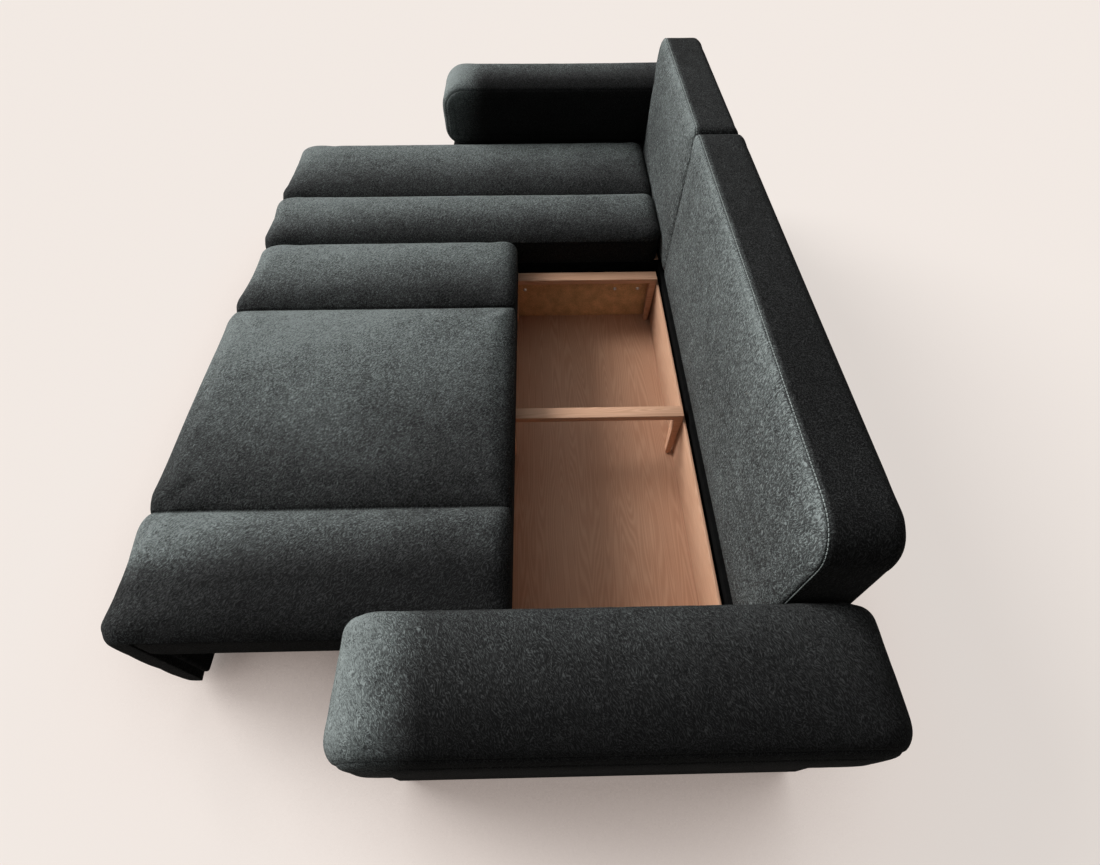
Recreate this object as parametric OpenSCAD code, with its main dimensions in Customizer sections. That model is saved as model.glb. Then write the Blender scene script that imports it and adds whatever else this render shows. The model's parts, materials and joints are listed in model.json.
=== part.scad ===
// Upholstered sofa with a chaise end and a pull-out seat over a storage box.
// The seat is shown pulled out, which opens the box between the backrest and the seat's rear edge.
// Front faces -Y, the chaise end is at -X, Z is up, origin on the floor at the middle of the outline.

/* [Overall] */
// Width over both arms
sofa_w = 2650; // [2450:10:2900]
// Depth from the seat's front, pulled out, to the back of the arms
sofa_d = 1690; // [1660:5:1800]
// Height of the feet
foot_h = 45; // [35:1:60]

/* [Arms] */
// Width of an arm
arm_w = 263; // [200:5:300]
// Length of an arm, front to back
arm_l = 1050; // [960:5:1060]
// Height of the top of an arm
arm_h = 648; // [600:1:700]
// Thickness of the padded arm block
arm_pad_h = 248; // [180:1:260]
// Radius of the arm's upper corners, seen from the side
arm_top_r = 100; // [60:1:110]
// Radius of the arm's lower corners, seen from the side
arm_low_r = 50; // [30:1:60]
// Radius of the long edges of the arm
arm_edge_r = 32; // [15:1:50]
// How far the arm's box stands back from the padded block
arm_inset = 25; // [15:1:45]

/* [Seats] */
// Height of the seat's crown
seat_h = 447; // [435:1:470]
// Height of the seam round the seats
seam_h = 400; // [395:1:410]
// Height of the seats' underside
under_h = 305; // [300:1:310]
// Width of the chaise
chaise_w = 682; // [560:2:900]
// Gap between the chaise and the moving seat
seat_gap = 7; // [4:1:30]
// Gap between the arms and the seats
side_gap = 8; // [5:1:20]
// Seams across the moving seat, as shares of its width from the chaise
seat_seam_shares = [0.243, 0.77];
// Seams across the chaise, as shares of its width from the far arm
chaise_seam_shares = [0.572];
// Radius of the rounded shoulders at the seams
seam_r = 62; // [40:1:80]
// How far a seam is sewn down into the top
seam_drop = 33; // [15:1:38]
// How far a seam is drawn in at the front
seam_in = 18; // [8:1:30]
// Radius of the seat's corners, seen from above
corner_r = 48; // [30:1:60]
// Radius of the front edge of the seats
front_r = 95; // [60:1:110]
// Thickness of the seat's front at its top
front_t = 105; // [85:1:125]
// Thickness of the upholstered borders
border_t = 12; // [8:1:16]

/* [Motion] */
// Travel of the seat from pulled out to closed
travel = 520; // [420:5:540]
// Radius of the castor wheels
wheel_r = 24; // [18:1:24]
// Width of the castor wheels
wheel_w = 20; // [14:1:24]
// Radius of the castor axles
axle_r = 4; // [3:0.5:5]

/* [Backrests] */
// Height of the backrests
back_h = 848; // [780:1:900]
// Thickness of a backrest at its top
back_top_t = 158; // [120:1:170]
// Thickness of a backrest at its foot
back_base_t = 189; // [165:1:200]
// Gap between the box and the backrest
back_gap = 9; // [5:1:16]
// Lean of the backrest's front face over its height
back_lean = 6; // [0:1:20]
// Radius of the backrest's upper corners, seen from the front
back_corner_r = 100; // [60:1:120]
// Gap between the two backrests
back_split = 4; // [3:1:10]
// Distance of the split from the box's far end
split_out = 39; // [20:1:60]

/* [Storage box] */
// Length of the bars across the box, front to rear
box_l = 556; // [530:1:560]
// Height of the rim
rim_h = 298; // [290:1:298]
// Width of the end bars
bar_w = 45; // [40:1:50]
// Width of the middle bar
mid_bar_w = 40; // [30:1:50]
// Thickness of the bars
bar_t = 20; // [16:1:24]
// Place of the middle bar, as a share of the box's width from its far end
mid_bar_share = 0.4837; // [0.4:0.005:0.6]
// Thickness of the box's front and rear walls
wall_t = 8; // [6:1:12]
// Thickness of the box's floor and end boards
board_t = 10; // [8:1:14]
// Height of the bearers under the box
bearer_h = 35; // [25:1:45]

/* [Hidden] */
$fn = 48;
over = 1;
fit_gap = 0.3;

arm_x = sofa_w / 2 - arm_w;
deck_x = arm_x - side_gap;
rear_y = sofa_d / 2;
front_y = -sofa_d / 2;
arm_y0 = rear_y - arm_l;
pad_z0 = arm_h - arm_pad_h;
arm_crown = 9;

chaise_x0 = -deck_x;
chaise_x1 = chaise_x0 + chaise_w;
seat_x0 = chaise_x1 + seat_gap;
seat_x1 = deck_x;
front_y1 = front_y + front_t;
pad_h = seat_h - seam_h;
rear_corner_r = 60;
rear_r = 45;
crown_h = 6;
least_full = 0.05;
seam_rear_in = 8;
front_low = 45;
corner_clear = 3;

back_in = 5;
back_y1 = rear_y - back_in;
back_y0 = back_y1 - back_base_t;
rear_room = 18;
seat_y1 = back_y0 - rear_room - travel;
back_front_r = 22;
back_rear_r = 45;
back_low_r = 34;
back_bulge = 4;
back_crown = 3;
box_y1 = back_y0 - back_gap - wall_t;
box_y0 = box_y1 - box_l;
chaise_y1 = back_y0 - back_split;
box_out = 44;
box_x0 = chaise_x1 + box_out;
box_x1 = arm_x;
split_x = box_x0 + split_out;
mid_bar_x0 = box_x0 + (box_x1 - box_x0) * mid_bar_share - mid_bar_w / 2;
base_z = foot_h + bearer_h;
floor_z = base_z + board_t;

frame_h = 40;
frame_t = 25;
slat_w = 60;
slat_t = 10;
slat_gap = 45;
glide_w = 14;
glide_l = 25;
glide_in = 2;

leg_t = 27;
leg_foot_t = 17;
leg_foot_w = 20;
leg_in = 1;
wall_drop = 2;
bolt_r = 7;
bolt_head_t = 3.5;
bolt_z = 225;
bolt_shares = [0.1, 0.73, 0.89];

foot_r = 26;
foot_taper = 5;
back_foot_shares = [-0.65, 0, 0.65];
bearer_w = 60;
bearer_ys = [box_y0 + bearer_w / 2, (box_y0 + box_y1) / 2, box_y1 - bearer_w / 2];
side_t = 18;
liner_t = 9;
beam_t = 36;
plate_in = 30;

castor_shares = [0.12, 0.5, 0.88];
castor_in = 45;
castor_y = front_y1 + side_t + castor_in;
hub_t = 5;
dish = 2;
tread_t = 7;
wheel_gap = 0.05;
fork_t = 3;
fork_gap = 1;
fork_h = 72;
fork_l = 60;
cheek_r = 10;
axle_head = 3;
block_w = 70;
block_h = 45;

wood = [0.80, 0.63, 0.49];
board_brown = [0.36, 0.22, 0.12];
cloth = [0.20, 0.25, 0.25];
dark = [0.08, 0.09, 0.09];
foam = [0.86, 0.84, 0.72];
steel = [0.72, 0.73, 0.74];
plastic = [0.10, 0.10, 0.11];

// Rounding of an edge: how far in, and how full, at step k of n
function edge_in(k, n, r) = r * (1 - cos(90 * k / n));
function edge_full(k, n) = sin(90 * k / n);

// One station per step across a channel: [x, fullness, outer edge, crown]
function crown_at(s) = 4 * s * (1 - s);
function stations_of(xa, xb, ra, rb, outer_a, outer_b, n, mids) = [
    for (k = [outer_a ? 0 : 1 : n])
        let (x = xa + edge_in(k, n, ra))
        [x, edge_full(k, n), outer_a, crown_at((x - xa) / (xb - xa))],
    for (m = [1 : mids])
        let (x = xa + ra + (xb - rb - xa - ra) * m / (mids + 1))
        [x, 1, false, crown_at((x - xa) / (xb - xa))],
    for (k = [n : -1 : 0])
        let (x = xb - edge_in(k, n, rb))
        [x, edge_full(k, n), outer_b, crown_at((x - xa) / (xb - xa))]
];

// Stations of a quilted piece with seams at the given places
function quilt_stations(marks, end_r, seam, n, mids) = [
    for (i = [0 : len(marks) - 2])
        let (first = i == 0, last = i == len(marks) - 2)
        each stations_of(marks[i], marks[i + 1], first ? end_r : seam, last ? end_r : seam,
            first, last, n, mids)
];

function marks_of(x0, x1, shares) = concat([x0], [for (s = shares) x0 + (x1 - x0) * s], [x1]);

// Solid through rings of points that lie in planes across X
module loft(xs, rings) {
    n = len(rings[0]);
    points = [for (i = [0 : len(xs) - 1]) for (p = rings[i]) [xs[i], p[0], p[1]]];
    sides = [
        for (i = [0 : len(xs) - 2])
            for (j = [0 : n - 1])
                let (a = i * n + j, b = i * n + (j + 1) % n)
                each [[a, a + n, b], [b, a + n, b + n]]
    ];
    first = [for (j = [0 : n - 1]) j];
    last = [for (j = [n - 1 : -1 : 0]) (len(xs) - 1) * n + j];
    polyhedron(points, concat(sides, [first, last]));
}

// Ring of a seat top: flat below, rounded front, crowned top, rounded rear
function top_ring(s, y0, y1, z0, h, rf, rr, shut, steps, mids) =
    let (
        lack = 1 - s[1],
        ya = y0 + lack * (s[2] ? corner_r : seam_in),
        yb = y1 - lack * (s[2] ? shut : seam_rear_in),
        rise = s[2] ? h * max(s[1], least_full) : h - seam_drop * lack,
        crown = crown_h * s[3]
    )
    [
        for (k = [0 : steps])
            [ya + edge_in(k, steps, rf), z0 + rise * edge_full(k, steps)],
        for (m = [1 : mids])
            let (t = m / (mids + 1))
            [ya + rf + (yb - rr - ya - rf) * t, z0 + rise + crown * crown_at(t)],
        for (k = [steps : -1 : 0])
            [yb - edge_in(k, steps, rr), z0 + rise * edge_full(k, steps)]
    ];

// Padded top of a seat, sewn into channels that run front to back
module quilted_top(x0, x1, shares, y0, y1, shut) {
    sts = quilt_stations(marks_of(x0, x1, shares), rear_r, seam_r, 5, 1);
    loft([for (s = sts) s[0]],
        [for (s = sts) top_ring(s, y0, y1, seam_h, pad_h - crown_h, front_r, rear_r, shut, 5, 4)]);
}

// How much deeper a seam is drawn in on the lower half of the padded front
low_seam_share = 0.33;

// How far the seat top stands back from the fullest part of the padded front
front_lead = 18;

// Radius of the padded front's ends
front_end_r = 22;

// Face of the padded front, as shares of its height and depth
front_shares = [[1, 0.83], [0.9, 0.93], [0.74, 0.985], [0.58, 1], [0.4, 0.99], [0.22, 0.95],
    [0.12, 0.9], [0.04, 0.79], [0, 0.64], [0, 0.12], [0.03, 0.02], [0.08, 0]];

function front_ring(s, z1, depth) =
    let (lack = 1 - s[1], draw = lack * (s[2] ? front_end_r : seam_in), fill = depth - draw)
    [
        [0, z1],
        for (p = front_shares)
            [-(p[1] * fill + (p[0] < 0.5 ? lack * (s[2] ? 0 : seam_in * low_seam_share) : 0) * p[1]),
                front_low + p[0] * (z1 - front_low)]
    ];

// Padded front below the seam, with the same channels
module quilted_front(x0, x1, shares) {
    sts = quilt_stations(marks_of(x0, x1, shares), front_end_r, seam_r, 4, 1);
    translate([0, front_y1, 0])
        loft([for (s = sts) s[0]], [for (s = sts) front_ring(s, seam_h - fit_gap, front_t)]);
}

// Border round a seat: two sides and a rear with rounded corners
module border(x0, x1, y0, y1, r) {
    translate([0, 0, under_h])
        linear_extrude(seam_h - fit_gap - under_h)
            difference() {
                border_shape(x0, x1, y0, y1, r);
                translate([0, -over])
                    border_shape(x0 + border_t, x1 - border_t, y0, y1 + over - border_t, r - border_t);
            }
}

module border_shape(x0, x1, y0, y1, r) {
    translate([x0, y0])
        square([x1 - x0, y1 - y0 - r]);
    translate([x0 + r, y0])
        square([x1 - x0 - 2 * r, y1 - y0]);
    for (x = [x0 + r, x1 - r])
        translate([x, y1 - r])
            circle(r);
}

// Plan of the space inside a border, with room at its corners
module inside_shape(x0, x1, y0, y1, r) {
    border_shape(x0 + border_t, x1 - border_t, y0, y1 - border_t, r - border_t + corner_clear);
}

// Wooden frame inside a border, with cross rails centred at the given places
module seat_ring(x0, x1, y0, y1, r, cross) {
    posts = concat([x0 + border_t + frame_t / 2], cross, [x1 - border_t - frame_t / 2]);
    translate([0, 0, under_h])
        linear_extrude(frame_h)
            difference() {
                inside_shape(x0, x1, y0, y1, r);
                for (i = [0 : len(posts) - 2])
                    translate([posts[i] + frame_t / 2, y0 + frame_t])
                        square([posts[i + 1] - posts[i] - frame_t, y1 - border_t - y0 - 2 * frame_t]);
            }
}

// Row of sprung slats across a frame
module slat_row(x0, x1, y0, y1) {
    count = floor((y1 - y0 - slat_w) / (slat_w + slat_gap));
    spread = (y1 - y0 - slat_w) / count;
    for (i = [0 : count])
        translate([x0 + border_t, y0 + i * spread, under_h + frame_h])
            cube([x1 - x0 - 2 * border_t, slat_w, slat_t]);
}

// Foam slab on the slats, inside a border
module foam_slab(x0, x1, y0, y1, r) {
    z0 = under_h + frame_h + slat_t;
    translate([0, 0, z0])
        linear_extrude(seam_h - fit_gap - z0)
            inside_shape(x0, x1, y0, y1, r);
}

// Padded arm block, lofted from face to face
function arm_ring(inset, bulge) =
    let (
        y0 = arm_y0 + inset,
        y1 = rear_y - inset,
        z0 = pad_z0 + inset,
        z1 = arm_h - arm_crown - inset,
        corners = [
            [y0 + arm_low_r, z0 + arm_low_r, arm_low_r, 180],
            [y1 - arm_low_r, z0 + arm_low_r, arm_low_r, 270],
            [y1 - arm_top_r, z1 - arm_top_r, arm_top_r, 0],
            [y0 + arm_top_r, z1 - arm_top_r, arm_top_r, 90]
        ]
    )
    [
        for (c = [0 : 3])
            let (p = corners[c], n = corners[(c + 1) % 4])
            each concat(
                [for (k = [0 : 5]) [p[0] + p[2] * cos(p[3] + 18 * k), p[1] + p[2] * sin(p[3] + 18 * k)]],
                c == 2 ? [for (m = [1 : 5])
                    [p[0] + (n[0] - p[0]) * m / 6, z1 + bulge * crown_at(m / 6)]] : []
            )
    ];

arm_face_shares = [0.33, 0.67];

module arm_pad(x0) {
    n = 5;
    sts = concat(
        [for (k = [0 : n]) [x0 + edge_in(k, n, arm_edge_r), edge_full(k, n)]],
        [for (t = arm_face_shares) [x0 + arm_edge_r + (arm_w - 2 * arm_edge_r) * t, 1]],
        [for (k = [n : -1 : 0]) [x0 + arm_w - edge_in(k, n, arm_edge_r), edge_full(k, n)]]
    );
    loft([for (s = sts) s[0]],
        [for (s = sts) arm_ring(arm_edge_r * (1 - s[1]), arm_crown * crown_at((s[0] - x0) / arm_w))]);
}

// Upholstered box that carries an arm, open below
module arm_box(x0) {
    w = arm_w - arm_inset;
    y0 = arm_y0 + arm_inset;
    l = arm_l - 2 * arm_inset;
    z1 = pad_z0 - fit_gap + arm_edge_r;
    translate([x0, y0, foot_h])
        difference() {
            cube([w, l, z1 - foot_h - arm_edge_r]);
            translate([side_t, side_t, -over])
                cube([w - 2 * side_t, l - 2 * side_t, z1 - foot_h - arm_edge_r - side_t + over]);
        }
}

// Places of the points on a backrest's front, top and rear
back_face_shares = [0.3, 0.55, 0.8];
back_top_shares = [0.35, 0.7];
back_rear_shares = [0.75, 0.5, 0.25, 0.05];
back_mid_shares = [0.25, 0.5, 0.75];

// Section of a backrest at one station: front, top and rear
function back_ring(s) =
    let (
        lack = 1 - s[1],
        z0 = rim_h + side_t + fit_gap,
        drop = back_corner_r * (1 - s[2]),
        z1 = back_h - drop,
        ya = back_y0 + lack * arm_edge_r,
        yb = back_y1 - lack * arm_edge_r,
        yt = back_y0 + back_lean + lack * arm_edge_r,
        yu = back_y0 + back_lean + back_top_t - lack * arm_edge_r,
        rf = back_front_r,
        rb = back_rear_r,
        rl = back_low_r
    )
    [
        [yb - rf, z0],
        for (k = [0 : 4])
            [ya + rl * (1 - edge_full(k, 4)), z0 + edge_in(k, 4, rl)],
        for (t = back_face_shares)
            [ya + (yt - ya) * t - back_bulge * crown_at(t), z0 + (z1 - rf - z0) * t],
        for (k = [0 : 4])
            [yt + edge_in(k, 4, rf), z1 - rf + rf * edge_full(k, 4)],
        for (t = back_top_shares)
            [yt + rf + (yu - rb - yt - rf) * t, z1 + back_crown * crown_at(t)],
        for (k = [4 : -1 : 0])
            [yu - edge_in(k, 4, rb), z1 - rb + rb * edge_full(k, 4)],
        for (t = back_rear_shares)
            [yb + (yu - yb) * t * t, z0 + (z1 - rb - z0) * t]
    ];

// Backrest between two ends, rounded at its outer upper corners
module backrest(x0, x1, round_a, round_b) {
    n = 6;
    ra = round_a ? back_corner_r : arm_edge_r;
    rb = round_b ? back_corner_r : arm_edge_r;
    e = arm_edge_r;
    sts = concat(
        [for (k = [0 : n])
            let (d = edge_in(k, n, ra), in = min(d / e, 1))
            [x0 + d, sqrt(1 - pow(1 - in, 2)), round_a ? edge_full(k, n) : 1]],
        [for (t = back_mid_shares) [x0 + ra + (x1 - rb - x0 - ra) * t, 1, 1]],
        [for (k = [n : -1 : 0])
            let (d = edge_in(k, n, rb), in = min(d / e, 1))
            [x1 - d, sqrt(1 - pow(1 - in, 2)), round_b ? edge_full(k, n) : 1]]
    );
    loft([for (s = sts) s[0]], [for (s = sts) back_ring([s[0], s[1], s[2]])]);
}

// Board under a backrest, which its frame and padding are built on
module back_plate(x0, x1) {
    translate([x0 + plate_in, back_y0 + plate_in, rim_h])
        cube([x1 - x0 - 2 * plate_in, back_base_t - 2 * plate_in, side_t]);
}

// Bar across the box with a tapered leg at each end
module portal(x0, w, leg_w) {
    translate([x0, box_y0, rim_h - bar_t])
        cube([w, box_l, bar_t]);
    translate([x0 + w, box_y0, 0])
        portal_leg(leg_w);
    translate([x0 + w, box_y1, 0])
        mirror([0, 1, 0])
            portal_leg(leg_w);
}

// Leg that tapers both ways from the bar down to a rounded end
module portal_leg(w) {
    top = rim_h - bar_t;
    low = floor_z + fit_gap;
    r = leg_foot_t / 2;
    intersection() {
        translate([-w, 0, 0])
            rotate([90, 0, 90])
                linear_extrude(w)
                    union() {
                        polygon([[0, top], [leg_t, top], [leg_t, top - bar_t], [leg_t - leg_in, low + r],
                            [leg_t - leg_in - 2 * r, low + r]]);
                        translate([leg_t - leg_in - r, low + r])
                            circle(r);
                    }
        rotate([90, 0, 0])
            translate([0, 0, -leg_t])
                linear_extrude(leg_t)
                    polygon([[-w, top], [0, top], [0, low], [-leg_foot_w, low]]);
    }
}

// Places of the castors across the moving seat
module castor_places() {
    for (s = castor_shares)
        translate([seat_x0 + (seat_x1 - seat_x0) * s, castor_y, wheel_r])
            children();
}

// Castor wheel: rounded tread, dished sides and a bored hub
module castor_wheel(i) {
    r = wheel_r;
    w = wheel_w / 2;
    bore = axle_r + wheel_gap;
    hub = axle_r + hub_t;
    translate([seat_x0 + (seat_x1 - seat_x0) * castor_shares[i], castor_y, wheel_r])
        rotate([0, 90, 0])
            rotate_extrude($fn = 64)
                polygon([[bore, -w], [hub, -w], [hub + dish, dish - w], [r - tread_t, dish - w],
                    [r - tread_t + dish, -w], [r - dish, -w], [r, dish - w], [r, w - dish],
                    [r - dish, w], [r - tread_t + dish, w], [r - tread_t, w - dish],
                    [hub + dish, w - dish], [hub, w], [bore, w]]);
}

module arm_near() color(cloth) arm_pad(arm_x);

module arm_far() color(cloth) arm_pad(-sofa_w / 2);

module arm_box_near() color(cloth) arm_box(arm_x);

module arm_box_far() color(cloth) arm_box(-arm_x - arm_w + arm_inset);

module backrest_long() color(cloth) backrest(split_x + back_split / 2, deck_x, false, true);

module backrest_short() color(cloth) backrest(-deck_x, split_x - back_split / 2, true, false);

module back_plate_long() color(wood) back_plate(split_x + back_split / 2, deck_x);

module back_plate_short() color(wood) back_plate(-deck_x, split_x - back_split / 2);

// Beam under the backrests, from arm to arm
module back_beam() color(dark)
    translate([-arm_x, back_y0, rim_h - beam_t])
        cube([2 * arm_x, back_y1 - side_t - back_y0, beam_t]);

module back_panel() color(cloth)
    translate([-arm_x, back_y1 - side_t, foot_h])
        cube([2 * arm_x, side_t, rim_h - foot_h]);

module back_liner() color(dark)
    translate([-arm_x, back_y0, foot_h])
        cube([2 * arm_x, liner_t, rim_h - beam_t - foot_h]);

module chaise_top() color(cloth)
    quilted_top(chaise_x0, chaise_x1, chaise_seam_shares, front_y + front_lead, chaise_y1, corner_r);

module chaise_front() color(cloth)
    quilted_front(chaise_x0, chaise_x1, chaise_seam_shares);

module chaise_border() color(cloth)
    border(chaise_x0, chaise_x1, front_y1, chaise_y1, corner_r);

module chaise_frame() color(wood)
    seat_ring(chaise_x0, chaise_x1, front_y1, chaise_y1, corner_r, [(chaise_x0 + chaise_x1) / 2]);

module chaise_slats() color(wood)
    slat_row(chaise_x0, chaise_x1, front_y1, chaise_y1 - corner_r - corner_clear);

module chaise_foam() color(foam)
    foam_slab(chaise_x0, chaise_x1, front_y1, chaise_y1, corner_r);

// Board along a side of the chaise, from its front to the liner
module chaise_side(x0) {
    translate([x0, front_y1, foot_h])
        cube([side_t, back_y0 - front_y1, under_h - foot_h]);
}

module chaise_side_near() color(dark) chaise_side(chaise_x1 - side_t);

module chaise_side_far() color(dark) chaise_side(chaise_x0);

module chaise_ends() color(wood)
    for (y = [front_y1, back_y0 - side_t])
        translate([chaise_x0 + side_t, y, foot_h])
            cube([chaise_w - 2 * side_t, side_t, under_h - foot_h]);

module bearers() color(wood)
    for (y = bearer_ys)
        translate([chaise_x1, y - bearer_w / 2, foot_h])
            cube([box_x1 - chaise_x1, bearer_w, bearer_h]);

module box_floor() color(wood)
    translate([box_x0, box_y0 - wall_t, base_z])
        cube([box_x1 - box_x0, box_l + 2 * wall_t, board_t]);

module box_wall(y0) {
    translate([box_x0, y0, floor_z])
        cube([box_x1 - box_x0, wall_t, rim_h - bar_t - wall_drop - floor_z]);
}

module box_wall_front() color(wood) box_wall(box_y0 - wall_t);

module box_wall_rear() color(wood) box_wall(box_y1);

module box_end(x0) {
    translate([x0, box_y0, floor_z])
        cube([board_t, box_l, rim_h - bar_t - floor_z]);
}

module box_end_far() color(board_brown) box_end(box_x0);

module box_end_near() color(board_brown) box_end(box_x1 - board_t);

module portal_far() color(wood) portal(box_x0, bar_w, bar_w - board_t);

module portal_middle() color(wood) portal(mid_bar_x0, mid_bar_w, mid_bar_w);

module portal_near() color(wood) mirror([1, 0, 0]) portal(-box_x1, bar_w, bar_w - board_t);

module box_bolts() color(steel)
    for (s = bolt_shares)
        translate([box_x0 + board_t, box_y0 + box_l * s, bolt_z])
            rotate([0, 90, 0])
                cylinder(h = bolt_head_t, r1 = bolt_r, r2 = bolt_r - bolt_head_t / 2);

module foot(x, y) {
    translate([x, y, 0])
        cylinder(h = foot_h, r1 = foot_r - foot_taper, r2 = foot_r);
}

// Feet under the arm boxes, the chaise, the bearers and the back panel
module feet() color(plastic) {
    arm_out = arm_x + arm_w - arm_inset;
    for (side = [-1, 1], x = [arm_x + foot_r, arm_out - foot_r])
        for (y = [arm_y0 + arm_inset + foot_r, rear_y - arm_inset - foot_r])
            foot(side * x, y);
    for (x = [chaise_x0 + foot_r, chaise_x1 - foot_r])
        for (y = [front_y1 + foot_r, (front_y1 + back_y0) / 2, back_y0 - foot_r])
            foot(x, y);
    for (x = [box_x0 + foot_r, (box_x0 + box_x1) / 2, box_x1 - foot_r], y = bearer_ys)
        foot(x, y);
    for (s = back_foot_shares)
        foot(arm_x * s, back_y1 - foot_r);
}

module seat_top() color(cloth)
    quilted_top(seat_x0, seat_x1, seat_seam_shares, front_y + front_lead, seat_y1, rear_corner_r);

module seat_front() color(cloth)
    quilted_front(seat_x0, seat_x1, seat_seam_shares);

module seat_border() color(cloth)
    border(seat_x0, seat_x1, front_y1, seat_y1, rear_corner_r);

module seat_frame() color(wood)
    seat_ring(seat_x0, seat_x1, front_y1, seat_y1, rear_corner_r, [mid_bar_x0 + mid_bar_w / 2]);

module seat_slats() color(wood)
    slat_row(seat_x0, seat_x1, front_y1, seat_y1 - rear_corner_r - corner_clear);

module seat_foam() color(foam)
    foam_slab(seat_x0, seat_x1, front_y1, seat_y1, rear_corner_r);

// Board behind the padded front, which carries the castors
module front_board() color(cloth)
    translate([seat_x0 + side_t, front_y1, front_low + side_t])
        cube([seat_x1 - seat_x0 - 2 * side_t, side_t, under_h - front_low - side_t]);

module castor_blocks() color(wood)
    castor_places()
        translate([-block_w / 2, front_y1 + side_t - castor_y, fork_h - wheel_r])
            cube([block_w, 2 * (castor_y - front_y1 - side_t), block_h]);

// Forks of the castors: a plate and two bored cheeks
module castor_forks() color(steel)
    castor_places()
        castor_fork();

module castor_fork() {
    inner = wheel_w / 2 + fork_gap;
    top = fork_h - wheel_r;
    translate([-inner - fork_t, -fork_l / 2, top - fork_t])
        cube([2 * (inner + fork_t), fork_l, fork_t]);
    for (side = [-1, 1])
        translate([side * (inner + fork_t / 2), 0, 0])
            rotate([90, 0, 90])
                translate([0, 0, -fork_t / 2])
                    linear_extrude(fork_t)
                        difference() {
                            union() {
                                circle(cheek_r);
                                polygon([[-cheek_r, 0], [cheek_r, 0], [fork_l / 2, top - fork_t],
                                    [-fork_l / 2, top - fork_t]]);
                            }
                            circle(axle_r + wheel_gap);
                        }
}

// Axles of the castors, with a head outside each cheek
module castor_axles() color(steel)
    castor_places()
        rotate([0, 90, 0]) {
            half = wheel_w / 2 + fork_gap + fork_t;
            translate([0, 0, -half])
                cylinder(h = 2 * half, r = axle_r);
            for (z = [-half - fork_t, half])
                translate([0, 0, z])
                    cylinder(h = fork_t, r = axle_r + axle_head);
        }

module castor_wheel_far() color(plastic) castor_wheel(0);

module castor_wheel_middle() color(plastic) castor_wheel(1);

module castor_wheel_near() color(plastic) castor_wheel(2);

// Glides under the rear of the moving seat, which ride on the bars
module glides() color(plastic)
    for (x = [box_x0 + bar_w / 2, mid_bar_x0 + mid_bar_w / 2, seat_x1 - border_t - frame_t / 2])
        translate([x - glide_w / 2, seat_y1 - glide_in - glide_l, rim_h + fit_gap])
            cube([glide_w, glide_l, under_h - rim_h - fit_gap]);

arm_near();
arm_far();
arm_box_near();
arm_box_far();
backrest_long();
backrest_short();
back_plate_long();
back_plate_short();
back_beam();
back_panel();
back_liner();
chaise_top();
chaise_front();
chaise_border();
chaise_frame();
chaise_slats();
chaise_foam();
chaise_side_near();
chaise_side_far();
chaise_ends();
bearers();
box_floor();
box_wall_front();
box_wall_rear();
box_end_far();
box_end_near();
portal_far();
portal_middle();
portal_near();
box_bolts();
feet();
seat_top();
seat_front();
seat_border();
seat_frame();
seat_slats();
seat_foam();
front_board();
castor_blocks();
castor_forks();
castor_axles();
castor_wheel_far();
castor_wheel_middle();
castor_wheel_near();
glides();
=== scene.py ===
"""Looks of a storage sofa with a chaise end and a pull-out seat: covers, woodwork, fittings, stage and camera."""

import json
import math

import bmesh
import bpy
import numpy as np
from bpy.props import FloatProperty, FloatVectorProperty, PointerProperty
from mathutils import Matrix, Vector
from mathutils.kdtree import KDTree


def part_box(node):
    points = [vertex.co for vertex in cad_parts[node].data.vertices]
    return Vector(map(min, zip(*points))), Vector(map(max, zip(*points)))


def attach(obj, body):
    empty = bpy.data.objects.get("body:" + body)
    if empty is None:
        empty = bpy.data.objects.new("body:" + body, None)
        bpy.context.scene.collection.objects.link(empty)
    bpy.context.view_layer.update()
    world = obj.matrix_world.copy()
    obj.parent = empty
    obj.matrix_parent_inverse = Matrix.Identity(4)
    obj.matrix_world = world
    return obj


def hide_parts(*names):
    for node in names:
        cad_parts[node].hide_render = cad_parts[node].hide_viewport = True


bl_info = {
    "name": "Storage sofa",
    "version": (1, 0, 0),
    "blender": (4, 5, 0),
    "location": "3D View > Sidebar > Sofa",
    "description": "Builds the covers, woodwork and fittings of a storage sofa",
    "category": "Add Mesh",
}

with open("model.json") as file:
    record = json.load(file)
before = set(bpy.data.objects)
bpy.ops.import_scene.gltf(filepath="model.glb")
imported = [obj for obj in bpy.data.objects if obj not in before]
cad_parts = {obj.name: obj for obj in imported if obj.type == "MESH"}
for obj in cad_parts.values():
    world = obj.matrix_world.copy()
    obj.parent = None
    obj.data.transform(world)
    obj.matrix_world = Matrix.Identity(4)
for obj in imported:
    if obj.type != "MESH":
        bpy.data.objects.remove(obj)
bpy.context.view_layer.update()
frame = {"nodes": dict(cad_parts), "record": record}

QUARTER = math.pi / 2

# Distance between the points of a cover's panels, and between those of a border
PITCH = 0.0165
BAND_PITCH = 0.03

# Points of a CAD node nearer than this are one point
MERGE = 1e-5

# Frames of cloth simulation for each cover
FRAMES = 16

# Height of the strip at a block's foot that stays where it is
FOOT = 0.012

# Least radius that is left round a block's face panel
LEAST_RADIUS = 0.006

# Kinds of points on a padded block: on its two sewn lines, on its band and inside its face panels
FIRST_SEAM, LAST_SEAM, BAND, PANEL = range(4)

# Painted light and shade on a seat's cover: the whole, then the shares of the far channel and of the last one,
# the place across the last one where its painted shade is full, how dark it gets there, and the painted light at its
# front
SEAT_PAINTED_LIGHT_AND_SHADE = (1.02, 1.2, 0.56, 0.64, 0.08, 3.4)
CHAISE_PAINTED_LIGHT_AND_SHADE = (0.98, 1.0, 0.98, 1.0, 0.15, 1.3)

# Sun: strength, softness and the way it shines
SUN_STRENGTH = 3.9
SUN_SPREAD = math.radians(30)
SUN_WAY = (0.39, 0.76, -0.52)

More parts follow.
